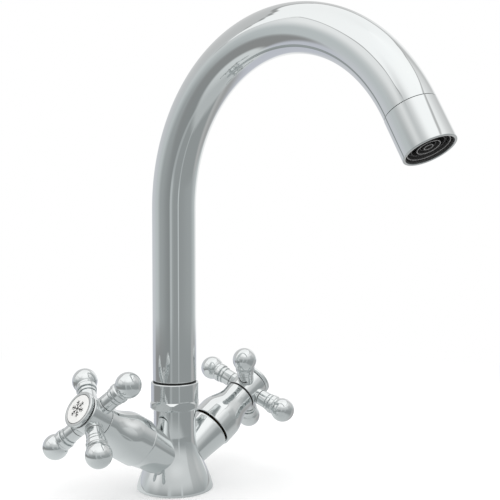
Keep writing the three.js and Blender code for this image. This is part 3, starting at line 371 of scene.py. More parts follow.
def rounded(corners, steps=5):
    """Profile through corners of (radius, height, fillet), or through ready arrays of points.

    A corner with a fillet becomes the arc that touches both of its sides: its centre is on the
    bisector, at fillet / sin(half the angle) from the corner.
    """
    listed = []
    for corner in corners:
        if isinstance(corner, np.ndarray):
            listed += [(radius, height, 0.0) for radius, height in corner]
        else:
            listed.append((*corner, 0.0)[:3])
    parts = []
    for i, (radius, height, fillet) in enumerate(listed):
        here = np.array((radius, height))
        if fillet == 0:
            parts.append(here[None])
            continue
        before = np.array(listed[i - 1][:2]) - here
        after = np.array(listed[(i + 1) % len(listed)][:2]) - here
        before /= np.linalg.norm(before)
        after /= np.linalg.norm(after)
        half = np.arccos(np.clip(before @ after, -1, 1)) / 2
        bisector = (before + after) / np.linalg.norm(before + after)
        centre = here + bisector * fillet / np.sin(half)
        start = here + before * fillet / np.tan(half) - centre
        end = here + after * fillet / np.tan(half) - centre
        swing = np.pi - 2 * half
        share = np.linspace(0, 1, steps + 1)[:, None]
        arc = (np.sin((1 - share) * swing) * start + np.sin(share * swing) * end) / np.sin(swing)
        parts.append(centre + arc)
    return np.concatenate(parts)


def spaced(profile, step, loop=False):
    """The same profile with more points, so that none is further than a step from the next.

    The step is one length, or a length for each side of the profile.
    """
    following = np.roll(profile, -1, axis=0)
    step = np.broadcast_to(step, len(profile))
    parts = []
    for i, (start, end) in enumerate(zip(profile, following)):
        if i == len(profile) - 1 and not loop:
            parts.append(start[None])
            break
        count = max(1, int(np.ceil(np.linalg.norm(end - start) / step[i])))
        parts.append(start + (end - start) * np.arange(count)[:, None] / count)
    return np.concatenate(parts)


def unit(vectors):
    """Vectors of length one, along the last axis."""
    return vectors / np.maximum(np.linalg.norm(vectors, axis=-1, keepdims=True), 1e-12)


def skin(points, loop):
    """Closed surface over a grid of points: vertices, faces of 4 and of 3, and vertex normals.

    Each row goes once round, and the rows follow a profile, which either closes on itself or
    starts and ends at a point. A normal is the cross product of the differences between a
    point's neighbours round the row and along the profile.
    """
    rows, columns = points.shape[:2]
    across = np.roll(points, -1, axis=1) - np.roll(points, 1, axis=1)
    if loop:
        along = np.roll(points, -1, axis=0) - np.roll(points, 1, axis=0)
    else:
        along = np.gradient(points, axis=0)
    normals = unit(np.cross(across, along))
    index = np.arange(rows * columns).reshape(rows, columns)
    if not loop:
        for end, inner in ((0, 1), (-1, -2)):
            index[end] = index[end, 0]
            normals[end] = unit(normals[inner].mean(axis=0))
    upper = np.roll(index, -1, axis=0) if loop else index[1:]
    lower = index if loop else index[:-1]
    corners = [lower, np.roll(lower, -1, 1), np.roll(upper, -1, 1), upper]
    faces = np.stack(corners, -1).reshape(-1, 4)
    start_fan = faces[:, 0] == faces[:, 1]
    end_fan = faces[:, 2] == faces[:, 3]
    threes = np.concatenate([faces[start_fan][:, (0, 2, 3)], faces[end_fan][:, (0, 1, 2)]])
    fours = faces[~(start_fan | end_fan)]
    used, fresh = np.unique(index, return_inverse=True)
    renumber = np.zeros(rows * columns, dtype=int)
    renumber[index.ravel()] = fresh.ravel()
    return (
        points.reshape(-1, 3)[used],
        renumber[fours],
        renumber[threes],
        normals.reshape(-1, 3)[used],
    )


def wrapped(radius, height, seat=UPRIGHT, loop=False):
    """Surface round an axis: point = (radius cos a, radius sin a, height), set on a seat.

    The radius is a grid of rows by columns and the height one number for each row, in
    millimetres. A seat is three axes, as columns, and an origin in millimetres.
    """
    angle = np.linspace(0, 2 * np.pi, radius.shape[1], endpoint=False)
    flat = np.zeros_like(radius)
    local = np.stack([radius * np.cos(angle), radius * np.sin(angle), height[:, None] + flat], -1)
    axes, origin = seat
    return skin((local @ axes.T + origin) * MM, loop)


def turned(profile, columns, seat=UPRIGHT, loop=False):
    """Surface of revolution: every column repeats the profile of radius and height."""
    radius = np.repeat(profile[:, :1], columns, axis=1)
    return wrapped(radius, profile[:, 1], seat, loop)


def piece(name, skins, body, nodes, material):
    """One object of one or more closed skins, which rides on a body and replaces CAD nodes."""
    counts = np.cumsum([0] + [len(skin_[0]) for skin_ in skins])
    points = np.concatenate([skin_[0] for skin_ in skins])
    normals = np.concatenate([skin_[3] for skin_ in skins])
    fours = np.concatenate([skin_[1] + start for skin_, start in zip(skins, counts)])
    threes = np.concatenate([skin_[2] + start for skin_, start in zip(skins, counts)])
    corners = np.concatenate([fours.ravel(), threes.ravel()])
    starts = np.concatenate(
        [np.arange(len(fours)) * 4, len(fours) * 4 + np.arange(len(threes)) * 3]
    )
    mesh = bpy.data.meshes.new(name)
    mesh.vertices.add(len(points))
    mesh.vertices.foreach_set("co", points.ravel())
    mesh.loops.add(len(corners))
    mesh.loops.foreach_set("vertex_index", corners.astype(np.int32))
    mesh.polygons.add(len(starts))
    mesh.polygons.foreach_set("loop_start", starts.astype(np.int32))
    mesh.update(calc_edges=True)
    mesh.shade_smooth()
    mesh.normals_split_custom_set_from_vertices(normals.tolist())
    mesh.materials.append(material)
    made = bpy.data.objects.new(name, mesh)
    bpy.context.collection.objects.link(made)
    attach(made, body)
    if nodes:
        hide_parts(*nodes)
    return made


def group_of(name, inputs, outputs):
    """Empty shader node group with its sockets, its input node and its output node."""
    made = bpy.data.node_groups.new(name, "ShaderNodeTree")
    kinds = {"vector": "NodeSocketVector", "value": "NodeSocketFloat"}
    for in_out, sockets in (("INPUT", inputs), ("OUTPUT", outputs)):
        for socket, kind in sockets:
            made.interface.new_socket(name=socket, in_out=in_out, socket_type=kinds[kind])
    return made, made.nodes.new("NodeGroupInput"), made.nodes.new("NodeGroupOutput")


def noise_of(tree, vector, scale, detail):
    """Noise from 0 to 1 at a scale in cycles per metre, driven by a vector socket."""
    noise = place(tree, "TexNoise", scale=scale, detail=detail)
    join(tree, vector, noise.inputs["Vector"])
    return noise.outputs["Fac"]


# Polish: soft clouds of wiping haze, fine swirl lines, and the slow ripple of a hand-held wheel.
# Each is a noise, given by its scale in cycles per metre and its detail.
HAZE_CLOUDS = (45.0, 4.0)
SWIRL_LINES = (900.0, 1.0)
WHEEL_RIPPLE = (28.0, 1.0)
SWIRL_SHARE = (0.25, 0.85)  # the roughness goes from 0.85 to 1.1 times its value
polish, enter, leave = group_of(
    "hand_polish",
    [("Vector", "vector"), ("Roughness", "value"), ("Haze", "value"), ("Ripple", "value")],
    [("Roughness", "value"), ("Height", "value"), ("Mask", "value")],
)
clouds = noise_of(polish, enter.outputs["Vector"], *HAZE_CLOUDS)
swirls = noise_of(polish, enter.outputs["Vector"], *SWIRL_LINES)
haze = times(polish, enter.outputs["Haze"], clouds)
swirl_share = math_of(polish, "MULTIPLY_ADD", swirls, *SWIRL_SHARE)
rough = times(polish, enter.outputs["Roughness"], swirl_share)
join(polish, math_of(polish, "ADD", rough, haze), leave.inputs["Roughness"])
ripple = noise_of(polish, enter.outputs["Vector"], *WHEEL_RIPPLE)
height = times(polish, enter.outputs["Ripple"], ripple)
join(polish, height, leave.inputs["Height"])
join(polish, clouds, leave.inputs["Mask"])

# Water spots: small rings left where drops have dried, in a few of the cells of a Voronoi pattern.
DROP_RADIUS = 0.16
DROP_LINE = 0.03
DROP_SHARE = 0.12
spots, enter, leave = group_of(
    "dried_drops",
    [("Vector", "vector"), ("Scale", "value"), ("Amount", "value")],
    [("Mask", "value")],
)
cells = place(spots, "TexVoronoi", feature="F1", randomness=1.0)
join(spots, enter.outputs["Vector"], cells.inputs["Vector"])
join(spots, enter.outputs["Scale"], cells.inputs["Scale"])
off_ring = math_of(spots, "SUBTRACT", cells.outputs["Distance"], DROP_RADIUS)
ring_mask = math_of(spots, "LESS_THAN", math_of(spots, "ABSOLUTE", off_ring), DROP_LINE)
chosen = math_of(spots, "LESS_THAN", parts_of(spots, cells.outputs["Color"])[0], DROP_SHARE)
rings = times(spots, ring_mask, chosen)
rings = times(spots, rings, enter.outputs["Amount"])
join(spots, rings, leave.inputs["Mask"])


def material_of(name, metallic):
    """New material, its tree, its Principled shader and its Object coordinates."""
    made = bpy.data.materials.new(name)
    made.use_nodes = True
    tree = made.node_tree
    shader = tree.nodes["Principled BSDF"]
    shader.inputs["Metallic"].default_value = metallic
    return made, tree, shader, place(tree, "TexCoord").outputs["Object"]


def use_group(tree, group, vector, **values):
    """Places a node group in a material, with its vector and its own values."""
    node = tree.nodes.new("ShaderNodeGroup")
    node.node_tree = group
    join(tree, vector, node.inputs["Vector"])
    for name, value in values.items():
        node.inputs[name.replace("_", " ").title()].default_value = value
    return node


def bump_of(tree, height, shader, distance):
    """Bump from a height socket into the shader's normal, its distance in metres."""
    bump = place(tree, "Bump", distance=distance, strength=1.0)
    join(tree, height, bump.inputs["Height"])
    join(tree, bump.outputs["Normal"], shader.inputs["Normal"])


CHROME_TONES = ((0.79, 0.82, 0.825, 1.0), (0.8, 0.82, 0.815, 1.0))
CHROME_BUMP = 0.0004
DROPS_SCALE = 140.0
DROP_GREY = 0.9
DROP_PALER = 0.12
DROP_DULLER = 0.06


def chrome_of(name, roughness, haze, ripple):
    """Chrome plate: cool grey with slightly warmer clouds, polished, with faint dried drops."""
    made, tree, shader, coords = material_of(name, 1.0)
    buffed = use_group(tree, polish, coords, roughness=roughness, haze=haze, ripple=ripple)
    drops = use_group(tree, spots, coords, scale=DROPS_SCALE, amount=1.0).outputs["Mask"]
    plate = mix_of(tree, buffed.outputs["Mask"], *CHROME_TONES)
    paler = times(tree, drops, DROP_PALER)
    join(tree, mix_of(tree, paler, plate, grey(DROP_GREY)), shader.inputs["Base Color"])
    dulled = math_of(tree, "MULTIPLY_ADD", drops, DROP_DULLER, buffed.outputs["Roughness"])
    join(tree, dulled, shader.inputs["Roughness"])
    bump_of(tree, buffed.outputs["Height"], shader, CHROME_BUMP)
    return made


cast_chrome = chrome_of("cast_chrome", roughness=0.05, haze=0.03, ripple=0.5)


def flare(height):
    """Radius of the trunk: a cosine fall from the base to the neck. It leaves out the first
    part of the half turn, the lean, so the foot's edge still slopes."""
    share = np.clip((height - BASE_EDGE) / (FLARE_TOP - BASE_EDGE), 0, 1)
    swing = FLARE_LEAN + (np.pi - FLARE_LEAN) * share
    return NECK_R + (BASE_R - NECK_R) * (1 + np.cos(swing)) / (1 + np.cos(FLARE_LEAN))


def arm_seat(side):
    """Seat of an arm: Z runs outwards along the arm, X is level, Y looks up and inwards."""
    outwards = np.array((side * np.cos(ARM_TILT), 0, np.sin(ARM_TILT)))
    level = np.array((0.0, side, 0.0))
    axes = np.stack([level, np.cross(outwards, level), outwards], axis=1)
    return axes, np.array((0, 0, ARM_CROSS_Z))


ARM_SEATS = {"cold": arm_seat(-1), "hot": arm_seat(1)}
rise = np.linspace(BASE_EDGE, FLARE_TOP, FLARE_ROWS)
trunk = rounded(
    [
        (0, 0),
        (GROOVE[0], 0, 0.2),
        (GROOVE[0], GROOVE[2], 0.1),
        (GROOVE[1], GROOVE[2], 0.1),
        (GROOVE[1], 0, 0.2),
        (BASE_R, 0, 0.4),
        np.stack([flare(rise), rise], axis=1),
        (NECK_R, NECK_TOP, 0.25),
        (TURRET_R, NECK_TOP, 0.1),
        (TURRET_R, TURRET_TOP, 0.3),
        (SOCKET_R, TURRET_TOP, 0.2),
        (SOCKET_R, SOCKET_FLOOR, 0.1),
        (CHAMBER_R, SOCKET_FLOOR, 0.1),
        (CHAMBER_R, CHAMBER_FLOOR, 0.1),
        (0, CHAMBER_FLOOR),
    ]
)
along = np.linspace(0, ARM_L - ARM_RIM, ARM_ROWS)
arm_radius = ARM_ROOT_R + (ARM_MOUTH_R - ARM_ROOT_R) * (along / ARM_L) ** 2
arm = rounded(
    [
        (0, 0),
        np.stack([arm_radius, along], axis=1),
        (ARM_MOUTH_R - ARM_RIM, ARM_L, 0.2),
        (VALVE_BORE_R, ARM_L, 0.15),
        (VALVE_BORE_R, VALVE_SEAT, 0.1),
        (0, VALVE_SEAT),
    ]
)
arms = [turned(arm, ROUND_COLUMNS, seat) for seat in ARM_SEATS.values()]
trunk_skin = turned(spaced(trunk, TRUNK_STEP), TRUNK_COLUMNS)
piece("polished_body", [trunk_skin] + arms, "body", ["mixer_body"], cast_chrome)

RUBBER_BLACK = (0.012, 0.012, 0.013, 1.0)
SLOW_CLOUDS = (80.0, 2.0)


def grain_group():
    """Fine grain of a moulded or machined surface: half fine noise and half slow clouds."""
    grain, enter, leave = group_of(
        "fine_grain",
        [("Vector", "vector"), ("Scale", "value"), ("Low", "value"), ("High", "value")],
        [("Mask", "value"), ("Roughness", "value"), ("Height", "value")],
    )
    fine = place(grain, "TexNoise", detail=3.0)
    join(grain, enter.outputs["Vector"], fine.inputs["Vector"])
    join(grain, enter.outputs["Scale"], fine.inputs["Scale"])
    slow = noise_of(grain, enter.outputs["Vector"], *SLOW_CLOUDS)
    half_slow = times(grain, slow, 0.5)
    mask = math_of(grain, "MULTIPLY_ADD", fine.outputs["Fac"], 0.5, half_slow)
    join(grain, mask, leave.inputs["Mask"])
    span = math_of(grain, "SUBTRACT", enter.outputs["High"], enter.outputs["Low"])
    rough = math_of(grain, "MULTIPLY_ADD", span, mask, enter.outputs["Low"])
    join(grain, rough, leave.inputs["Roughness"])
    join(grain, fine.outputs["Fac"], leave.inputs["Height"])
    return grain


grain = grain_group()


def grained(name, metallic, dark, light, scale, low, high, relief):
    """Material whose colour and roughness follow the fine grain between two values.

    The scale is in cycles per metre, and the relief is the grain's height in metres.
    """
    made, tree, shader, coords = material_of(name, metallic)
    fine = use_group(tree, grain, coords, scale=scale, low=low, high=high)
    join(tree, mix_of(tree, fine.outputs["Mask"], dark, light), shader.inputs["Base Color"])
    join(tree, fine.outputs["Roughness"], shader.inputs["Roughness"])
    bump_of(tree, fine.outputs["Height"], shader, relief)
    return made


def keep_nodes(material, *nodes):
    """CAD nodes whose shape is right keep it and get the material."""
    for node in nodes:
        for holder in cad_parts[node].material_slots:
            holder.material = material


rubber = grained(
    "black_rubber", 0.0, RUBBER_BLACK, grey(0.03), scale=2500.0, low=0.62, high=0.8, relief=0.00005
)
keep_nodes(rubber, "base_gasket")

# ------------------------------------------------------------------ union nut and slip ring
# Turned and milled from brass bar, chrome plated: six flats with bright turned-off corners under
# a round collar. It screws on the turret and its lip traps the spout's split ring. The black
# ring in its top is moulded low-friction plastic, on which the tube turns. Its flange fills the
# gap under the tube's foot, and its black there is painted shade for the shadow in that gap.
NUT_BOTTOM = 52.6
NUT_HEX_TOP = 58.2
NUT_TOP = 70.0
NUT_FLAT_R = 15.2
NUT_CORNER_R = 16.9
NUT_CHAMFER = 1.5
NUT_R = 15.6
NUT_BORE_R = 13.2
NUT_TURN = np.radians(-14.5)
NUT_LIP_BOTTOM = 64.6
NUT_LIP_R = 11.6
SLIP_SEAT = 68.6
SLIP_SEAT_R = 13.4
SLIP_RING = (11.6, 13.1, 68.9, 70.7)
# The flange's black is painted shade for the shadow in the gap under the tube's foot.
SLIP_SHADE_FLANGE = (14.1, 70.02)
NUT_COLUMNS = 560
NUT_STEP = 0.9
HEX_STEP = 0.2
HEX_MARGIN = (0.5, 0.3)
RING_COLUMNS = 96

nut_collar = rounded(
    [
        (NUT_BORE_R, NUT_BOTTOM),
        (NUT_CORNER_R - NUT_CHAMFER, NUT_BOTTOM, 0.12),
        (NUT_CORNER_R, NUT_BOTTOM + NUT_CHAMFER, 0.12),
        (NUT_CORNER_R, NUT_HEX_TOP - NUT_CHAMFER, 0.12),
        (NUT_R, NUT_HEX_TOP, 0.2),
        (NUT_R, NUT_TOP, 0.8),
        (SLIP_SEAT_R, NUT_TOP, 0.25),
        (SLIP_SEAT_R, SLIP_SEAT, 0.1),
        (NUT_LIP_R, SLIP_SEAT, 0.1),
        (NUT_LIP_R, NUT_LIP_BOTTOM, 0.1),
        (NUT_BORE_R, NUT_LIP_BOTTOM, 0.1),
    ]
)


def on_hexagon(profile):
    """Which points of the nut's profile are outside its bore and below its collar."""
    radius, height = profile.T
    return (radius > NUT_BORE_R + HEX_MARGIN[0]) & (height < NUT_HEX_TOP + HEX_MARGIN[1])


# A flat is a straight line NUT_FLAT_R from the axis: its radius is that over the cosine of the
# angle from its middle. The nut's radius is the lesser of that and the turned profile's.
hexagon_step = np.where(on_hexagon(nut_collar), HEX_STEP, NUT_STEP)
nut_profile = spaced(nut_collar, hexagon_step, loop=True)
around = np.linspace(0, 2 * np.pi, NUT_COLUMNS, endpoint=False)
flats = NUT_FLAT_R / np.cos(((around - NUT_TURN) % (np.pi / 3)) - np.pi / 6)
nut_radius = np.repeat(nut_profile[:, :1], NUT_COLUMNS, axis=1)
on_flats = on_hexagon(nut_profile)
nut_radius[on_flats] = np.minimum(nut_radius[on_flats], flats)
nut_skin = wrapped(nut_radius, nut_profile[:, 1], loop=True)
piece("union_nut", [nut_skin], "body", ["spout_union_nut"], cast_chrome)
inner, outer, low, high = SLIP_RING
flange_r, flange_low = SLIP_SHADE_FLANGE
slip = [(inner, low, 0.1), (outer, low, 0.1), (outer, flange_low, 0.05),
        (flange_r, flange_low, 0.1), (flange_r, high, 0.1), (inner, high, 0.1)]
black_plastic = grained(
    "black_plastic", 0.0, grey(0.006), grey(0.015), scale=1800.0, low=0.55, high=0.7, relief=0.00001
)
slip_skin = turned(rounded(slip), RING_COLUMNS, loop=True)
piece("slip_ring", [slip_skin], "spout", ["spout_slip_ring"], black_plastic)

# ------------------------------------------------------------------------ gooseneck spout
# Drawn brass tube with a 1 mm wall, bent through 150 degrees, polished and chrome plated. A turned
# brass foot is soldered in its lower end; two O-rings seal it in the body, and a sprung steel ring
# under the nut's lip holds it down.
TUBE_R = 14.25
TUBE_BORE_R = 13.25
TUBE_FOOT = 70.8
BEND_START = 183.5
BEND_R = 101.4
BEND_ANGLE = np.radians(150)
TUBE_TIP = 2.0
TUBE_COLUMNS = 128
TUBE_STEP = 2.5
TUBE_L = BEND_START - TUBE_FOOT + BEND_R * BEND_ANGLE + TUBE_TIP


def gooseneck(along):
    """Point and direction of the spout's centre line at a distance from its foot: straight up,
    round an arc about (-R, start of bend), then straight on."""
    angle = np.clip((along - (BEND_START - TUBE_FOOT)) / BEND_R, 0, BEND_ANGLE)
    before = np.minimum(along, BEND_START - TUBE_FOOT)
    after = np.maximum(along - (TUBE_L - TUBE_TIP), 0)
    y = -BEND_R * (1 - np.cos(angle)) - after * np.sin(angle)
    z = TUBE_FOOT + before + BEND_R * np.sin(angle) + after * np.cos(angle)
    zero = np.zeros_like(along)
    return np.stack([zero, y, z], -1), np.stack([zero, -np.sin(angle), np.cos(angle)], -1)


wall = rounded(
    [
        (TUBE_BORE_R, 0, 0.1),
        (TUBE_R, 0, 0.85),
        (TUBE_R, TUBE_L, 0.12),
        (TUBE_BORE_R, TUBE_L, 0.1),
    ],
    steps=6,
)
wall = spaced(wall, TUBE_STEP, loop=True)
centre, ahead = gooseneck(wall[:, 1])
level = np.array((1.0, 0.0, 0.0))
upper_side = np.cross(ahead, level)
angle = np.linspace(0, 2 * np.pi, TUBE_COLUMNS, endpoint=False)[None, :, None]
ring_of_points = np.cos(angle) * level + np.sin(angle) * upper_side[:, None]
tube_skin = skin((centre[:, None] + wall[:, :1, None] * ring_of_points) * MM, loop=True)
tube_chrome = chrome_of("tube_chrome", roughness=0.015, haze=0.015, ripple=0.25)
piece("gooseneck_tube", [tube_skin], "spout", ["spout_tube"], tube_chrome)

BRASS_TONES = ((0.42, 0.27, 0.1, 1), (0.62, 0.45, 0.2, 1))
brass = grained(
    "machined_brass", 1.0, *BRASS_TONES, scale=900.0, low=0.22, high=0.42, relief=0.00004
)
steel = grained(
    "plain_steel", 1.0, grey(0.42), grey(0.6), scale=1200.0, low=0.2, high=0.38, relief=0.00003
)
keep_nodes(brass, "spout_foot")
keep_nodes(rubber, "spout_o_ring_lower", "spout_o_ring_upper")
keep_nodes(steel, "spout_retaining_ring")

# ------------------------------------------------------------------------ outlet and aerator
# A turned chromed sleeve plugs into the tube's end. Inside its rim a moulded dark aerator sits
# a little back, behind a black gap: a barrel with thin pale rings and fine ribs between them.
# A dark plastic liner over the sleeve's bore is painted shade: it makes that gap black, where
# the bore would lie in shadow.
tip, onwards = (row[0] for row in gooseneck(np.array([TUBE_L])))
OUTLET_SEAT = (np.stack([level, np.cross(onwards, level), onwards], axis=1), tip)
OUTLET_R = 14.4
OUTLET_L = 23.9
OUTLET_MOUTH_R = 12.9
OUTLET_BORE_R = 9.6
OUTLET_LEDGE = 12.5
SPIGOT_R = 12.65
SPIGOT_L = 7.0
OUTLET_GAP = 0.3
OUTLET_STEP = 3
sleeve = rounded(
    [
        (OUTLET_BORE_R, -SPIGOT_L, 0.1),
        (SPIGOT_R, -SPIGOT_L, 0.2),
        (SPIGOT_R, OUTLET_GAP, 0.1),
        (OUTLET_R, OUTLET_GAP, 0.15),
        (OUTLET_R, OUTLET_L, 0.5),
        (OUTLET_MOUTH_R, OUTLET_L, 0.3),
        (OUTLET_MOUTH_R, OUTLET_LEDGE, 0.1),
        (OUTLET_BORE_R, OUTLET_LEDGE, 0.1),
    ]
)
sleeve = spaced(sleeve, OUTLET_STEP, loop=True)
sleeve_skin = turned(sleeve, ROUND_COLUMNS, OUTLET_SEAT, loop=True)
piece("outlet_collar", [sleeve_skin], "spout", ["outlet_sleeve"], tube_chrome)

AERATOR_FACE = 22.1
AERATOR_PLATE = (15.5, 17.5)
AERATOR_FLANGE_R = 12.6
# A hoop is (outer radius, width, how far it sits below the face). Those that are capped have a
# paler edge, (width, height).
AERATOR_HOOPS = ((11.7, 0.8, 0.0), (9.2, 0.6, 0.7), (6.4, 0.7, 0.2), (4.4, 0.5, 0.9),
                 (2.65, 0.8, 0.3))
CAPPED_HOOPS = (0, 2, 4)
HOOP_CAP = (0.32, 0.22)
CAP_SUNK = 0.1
PLATE_SUNK = 0.4
AERATOR_RIBS = 40
RIB_RING = (9.3, 9.9, 10.7, 1.1)
RIB_COLUMNS = AERATOR_RIBS * 8
# A dark liner on the sleeve's bore: painted shade that makes the gap round the aerator black.
AERATOR_SHADE_LINER = (12.82, 0.4, 23.3)
PLASTIC_GRAIN = {"scale": 1500.0, "relief": 0.000002}
aerator_plastic = grained(
    "aerator_plastic", 0.0, grey(0.025), grey(0.06), low=0.42, high=0.55, **PLASTIC_GRAIN
)
hoop_plastic = grained(
    "hoop_plastic", 0.0, grey(0.22), grey(0.34), low=0.35, high=0.5, **PLASTIC_GRAIN
)


def hoop_of(outer, wide, low, high):
    """Turned ring of rectangular section, with its edges just broken."""
    section = [(outer - wide, low), (outer, low), (outer, high, 0.1), (outer - wide, high, 0.1)]
    return turned(rounded(section, steps=3), RING_COLUMNS, OUTLET_SEAT, loop=True)


plate = rounded(
    [(0, AERATOR_PLATE[0]), (AERATOR_FLANGE_R, AERATOR_PLATE[0], 0.2),
     (AERATOR_FLANGE_R, AERATOR_PLATE[1], 0.2), (0, AERATOR_PLATE[1])]
)
rib_inner, rib_low, rib_high, rib_drop = RIB_RING
rib_foot = AERATOR_PLATE[1] - PLATE_SUNK
rib_top = AERATOR_FACE - rib_drop
rib_rows = np.array(
    [[rib_inner, rib_foot], [rib_low, rib_foot], [rib_low, rib_top], [rib_inner, rib_top]]
)
around = np.linspace(0, 2 * np.pi, RIB_COLUMNS, endpoint=False)
teeth = (rib_high - rib_low) * np.clip(2 * np.cos(AERATOR_RIBS * around) + 0.5, 0, 1)
rib_radius = np.repeat(rib_rows[:, :1], RIB_COLUMNS, axis=1)
rib_radius[1:3] += teeth
aerator_skins = [
    turned(plate, RING_COLUMNS, OUTLET_SEAT),
    wrapped(rib_radius, rib_rows[:, 1], OUTLET_SEAT, loop=True),
]
# Painted shade: the dark liner over the sleeve's bore.
outer, wide, top = AERATOR_SHADE_LINER
aerator_skins.append(hoop_of(outer, wide, AERATOR_PLATE[0], top))
cap_wide, cap_high = HOOP_CAP
caps = []
for i, (outer, wide, drop) in enumerate(AERATOR_HOOPS):
    top = AERATOR_FACE - drop
    aerator_skins.append(hoop_of(outer, wide, rib_foot, top))
    if i in CAPPED_HOOPS:
        caps.append(hoop_of(outer - CAP_SUNK, cap_wide, top - CAP_SUNK, top + cap_high))
piece("aerator_face", aerator_skins, "spout", ["aerator_insert"], aerator_plastic)
piece("aerator_hoop_edges", caps, "spout", [], hoop_plastic)
keep_nodes(steel, "aerator_screen")
keep_nodes(rubber, "aerator_washer")

# --------------------------------------------------------------------- valves in the arms
# Machined brass headworks with two lapped ceramic discs each, a rubber seat seal and a rubber
# washer. They screw into the arms and are hidden by the shrouds; their spindles carry the handles.
ceramic = grained(
    "lapped_ceramic", 0.0, grey(0.78), grey(0.86), scale=700.0, low=0.15, high=0.28, relief=0.00001
)
for water in ("cold", "hot"):
    keep_nodes(brass, f"{water}_headwork_body", f"{water}_spindle")
    keep_nodes(rubber, f"{water}_headwork_seal", f"{water}_seat_seal", f"{water}_spindle_o_ring")
    keep_nodes(ceramic, f"{water}_fixed_disc", f"{water}_turning_disc")
    keep_nodes(steel, f"{water}_spindle_circlip", f"{water}_handle_screw")

# -------------------------------------------------------------------------------- shrouds
# Bell-shaped covers, spun from brass and chrome plated, thin enough that only a dark line shows
# between each and its arm. A thread inside holds them on the headworks' collars.
SHROUD_LIP = {"cold": 35.4, "hot": 36.2}
SHROUD_LIP_R = 15.695
SHROUD_SHOULDER = 45.5
SHROUD_WAIST = 64.0
SHROUD_TOP = 69.0
SHROUD_TOP_R = 11.0
SHROUD_WALL = 1.5
LAND_R = 12.3
LAND = (40.5, 46.5)
LAND_RUN_OUT = 0.6
OUTSIDE_ROWS = 40
INSIDE_ROWS = 30
SHROUD_STEP = 2.5


def bell(height):
    """Outer radius of a shroud: a cosine fall from its shoulder to its waist."""
    share = np.clip((height - SHROUD_SHOULDER) / (SHROUD_WAIST - SHROUD_SHOULDER), 0, 1)
    return SHROUD_TOP_R + (SHROUD_LIP_R - SHROUD_TOP_R) * (1 + np.cos(np.pi * share)) / 2


spun_chrome = chrome_of("spun_chrome", roughness=0.05, haze=0.03, ripple=0.5)
for water, seat in ARM_SEATS.items():
    lip = SHROUD_LIP[water]
    outside = np.linspace(SHROUD_SHOULDER, SHROUD_WAIST, OUTSIDE_ROWS)
    inside = np.linspace(SHROUD_WAIST, LAND[1] + LAND_RUN_OUT, INSIDE_ROWS)
    cover = rounded(
        [
            (SHROUD_LIP_R - SHROUD_WALL, lip, 0.2),
            (SHROUD_LIP_R, lip, 0.5),
            np.stack([bell(outside), outside], axis=1),
            (SHROUD_TOP_R, SHROUD_TOP, 0.35),
            (SHROUD_TOP_R - SHROUD_WALL, SHROUD_TOP, 0.2),
            np.stack([bell(inside) - SHROUD_WALL, inside], axis=1),
            (LAND_R, LAND[1], 0.1),
            (LAND_R, LAND[0], 0.1),
            (SHROUD_LIP_R - SHROUD_WALL, LAND[0], 0.1),
        ]
    )
    cover_skin = turned(spaced(cover, SHROUD_STEP, loop=True), ROUND_COLUMNS, seat, loop=True)
    piece(f"{water}_bell_cover", [cover_skin], "body", [f"{water}_shroud"], spun_chrome)

# --------------------------------------------------------------------------- cross handles
# Turned brass hubs with four short bosses, into which four turned spokes with ball ends are
# screwed; all polished and chrome plated. A hidden screw holds each hub on its splined spindle.
HANDLE_TURN = {"cold": np.radians(50), "hot": np.radians(26.9)}
HUB_BOTTOM = {"cold": 69.3, "hot": 70.1}
HUB_TOP = 84.5
HUB_R = 11.0
HUB_TOP_R = 11.6
HUB_RECESS_R = 8.6
HUB_RECESS_FLOOR = 79.5
# A black rubber washer under each hub. On the hot handle it reaches out past the hub: a black band,
# painted shade for the shadow in the gap above the shroud. On the cold one it stays further in.
SHADE_WASHER = (9.3, 69.02)
SHADE_WASHER_R = {"cold": 9.8, "hot": 11.1}
HUB_SPIGOT_R = 9.2
HUB_SPIGOT_END = 66.4
HUB_BORE_R = 4.3
HUB_BORE_END = 77.5
SPOKE_PLANE = 76.6
BOSS_R = 5.6
BOSS_REACH = 12.6
BOSS_START = 7.0
SPOKE_ROOT = 12.9
SPOKE_ROOT_R = 5.5
TENON_R = 2.0
TENON_END = 7.3
ROOT_END = 18.8
# Groove, bead, groove and bead: radius, then place and fillet of each end along the spoke.
SPOKE_RINGS = (
    (4.8, (18.9, 0.08), (19.4, 0.08)),
    (5.9, (19.45, 0.35), (21.3, 0.35)),
    (5.1, (21.45, 0.08), (21.95, 0.08)),
    (6.5, (22.05, 0.5), (24.7, 0.7)),
)
SPOKE_NECK_R = 6.1
NECK_AT = 25.4
BALL_AT = 31.5
BALL_R = 8.05
BALL_ROWS = 48
HUB_STEP = 2
SPOKE_STEP = 1.5
BOSS_COLUMNS = 64
SPOKE_COLUMNS = 88
SHADE_WASHER_GAP = 0.02


def handle_seat(water):
    """Seat of a handle: its arm's, turned about the arm by the handle's rest angle."""
    axes, origin = ARM_SEATS[water]
    turn = HANDLE_TURN[water]
    spin = np.array(((np.cos(turn), -np.sin(turn), 0), (np.sin(turn), np.cos(turn), 0), (0, 0, 1)))
    return axes @ spin, origin


def spoke_seat(seat, quarter):
    """Seat of a spoke: Z runs out along the spoke, in the plane of the four spokes."""
    axes, origin = seat
    turn = quarter * np.pi / 2
    out = axes[:, 0] * np.cos(turn) + axes[:, 1] * np.sin(turn)
    beside = axes[:, 1] * np.cos(turn) - axes[:, 0] * np.sin(turn)
    return np.stack([-axes[:, 2], beside, out], axis=1), origin + axes[:, 2] * SPOKE_PLANE


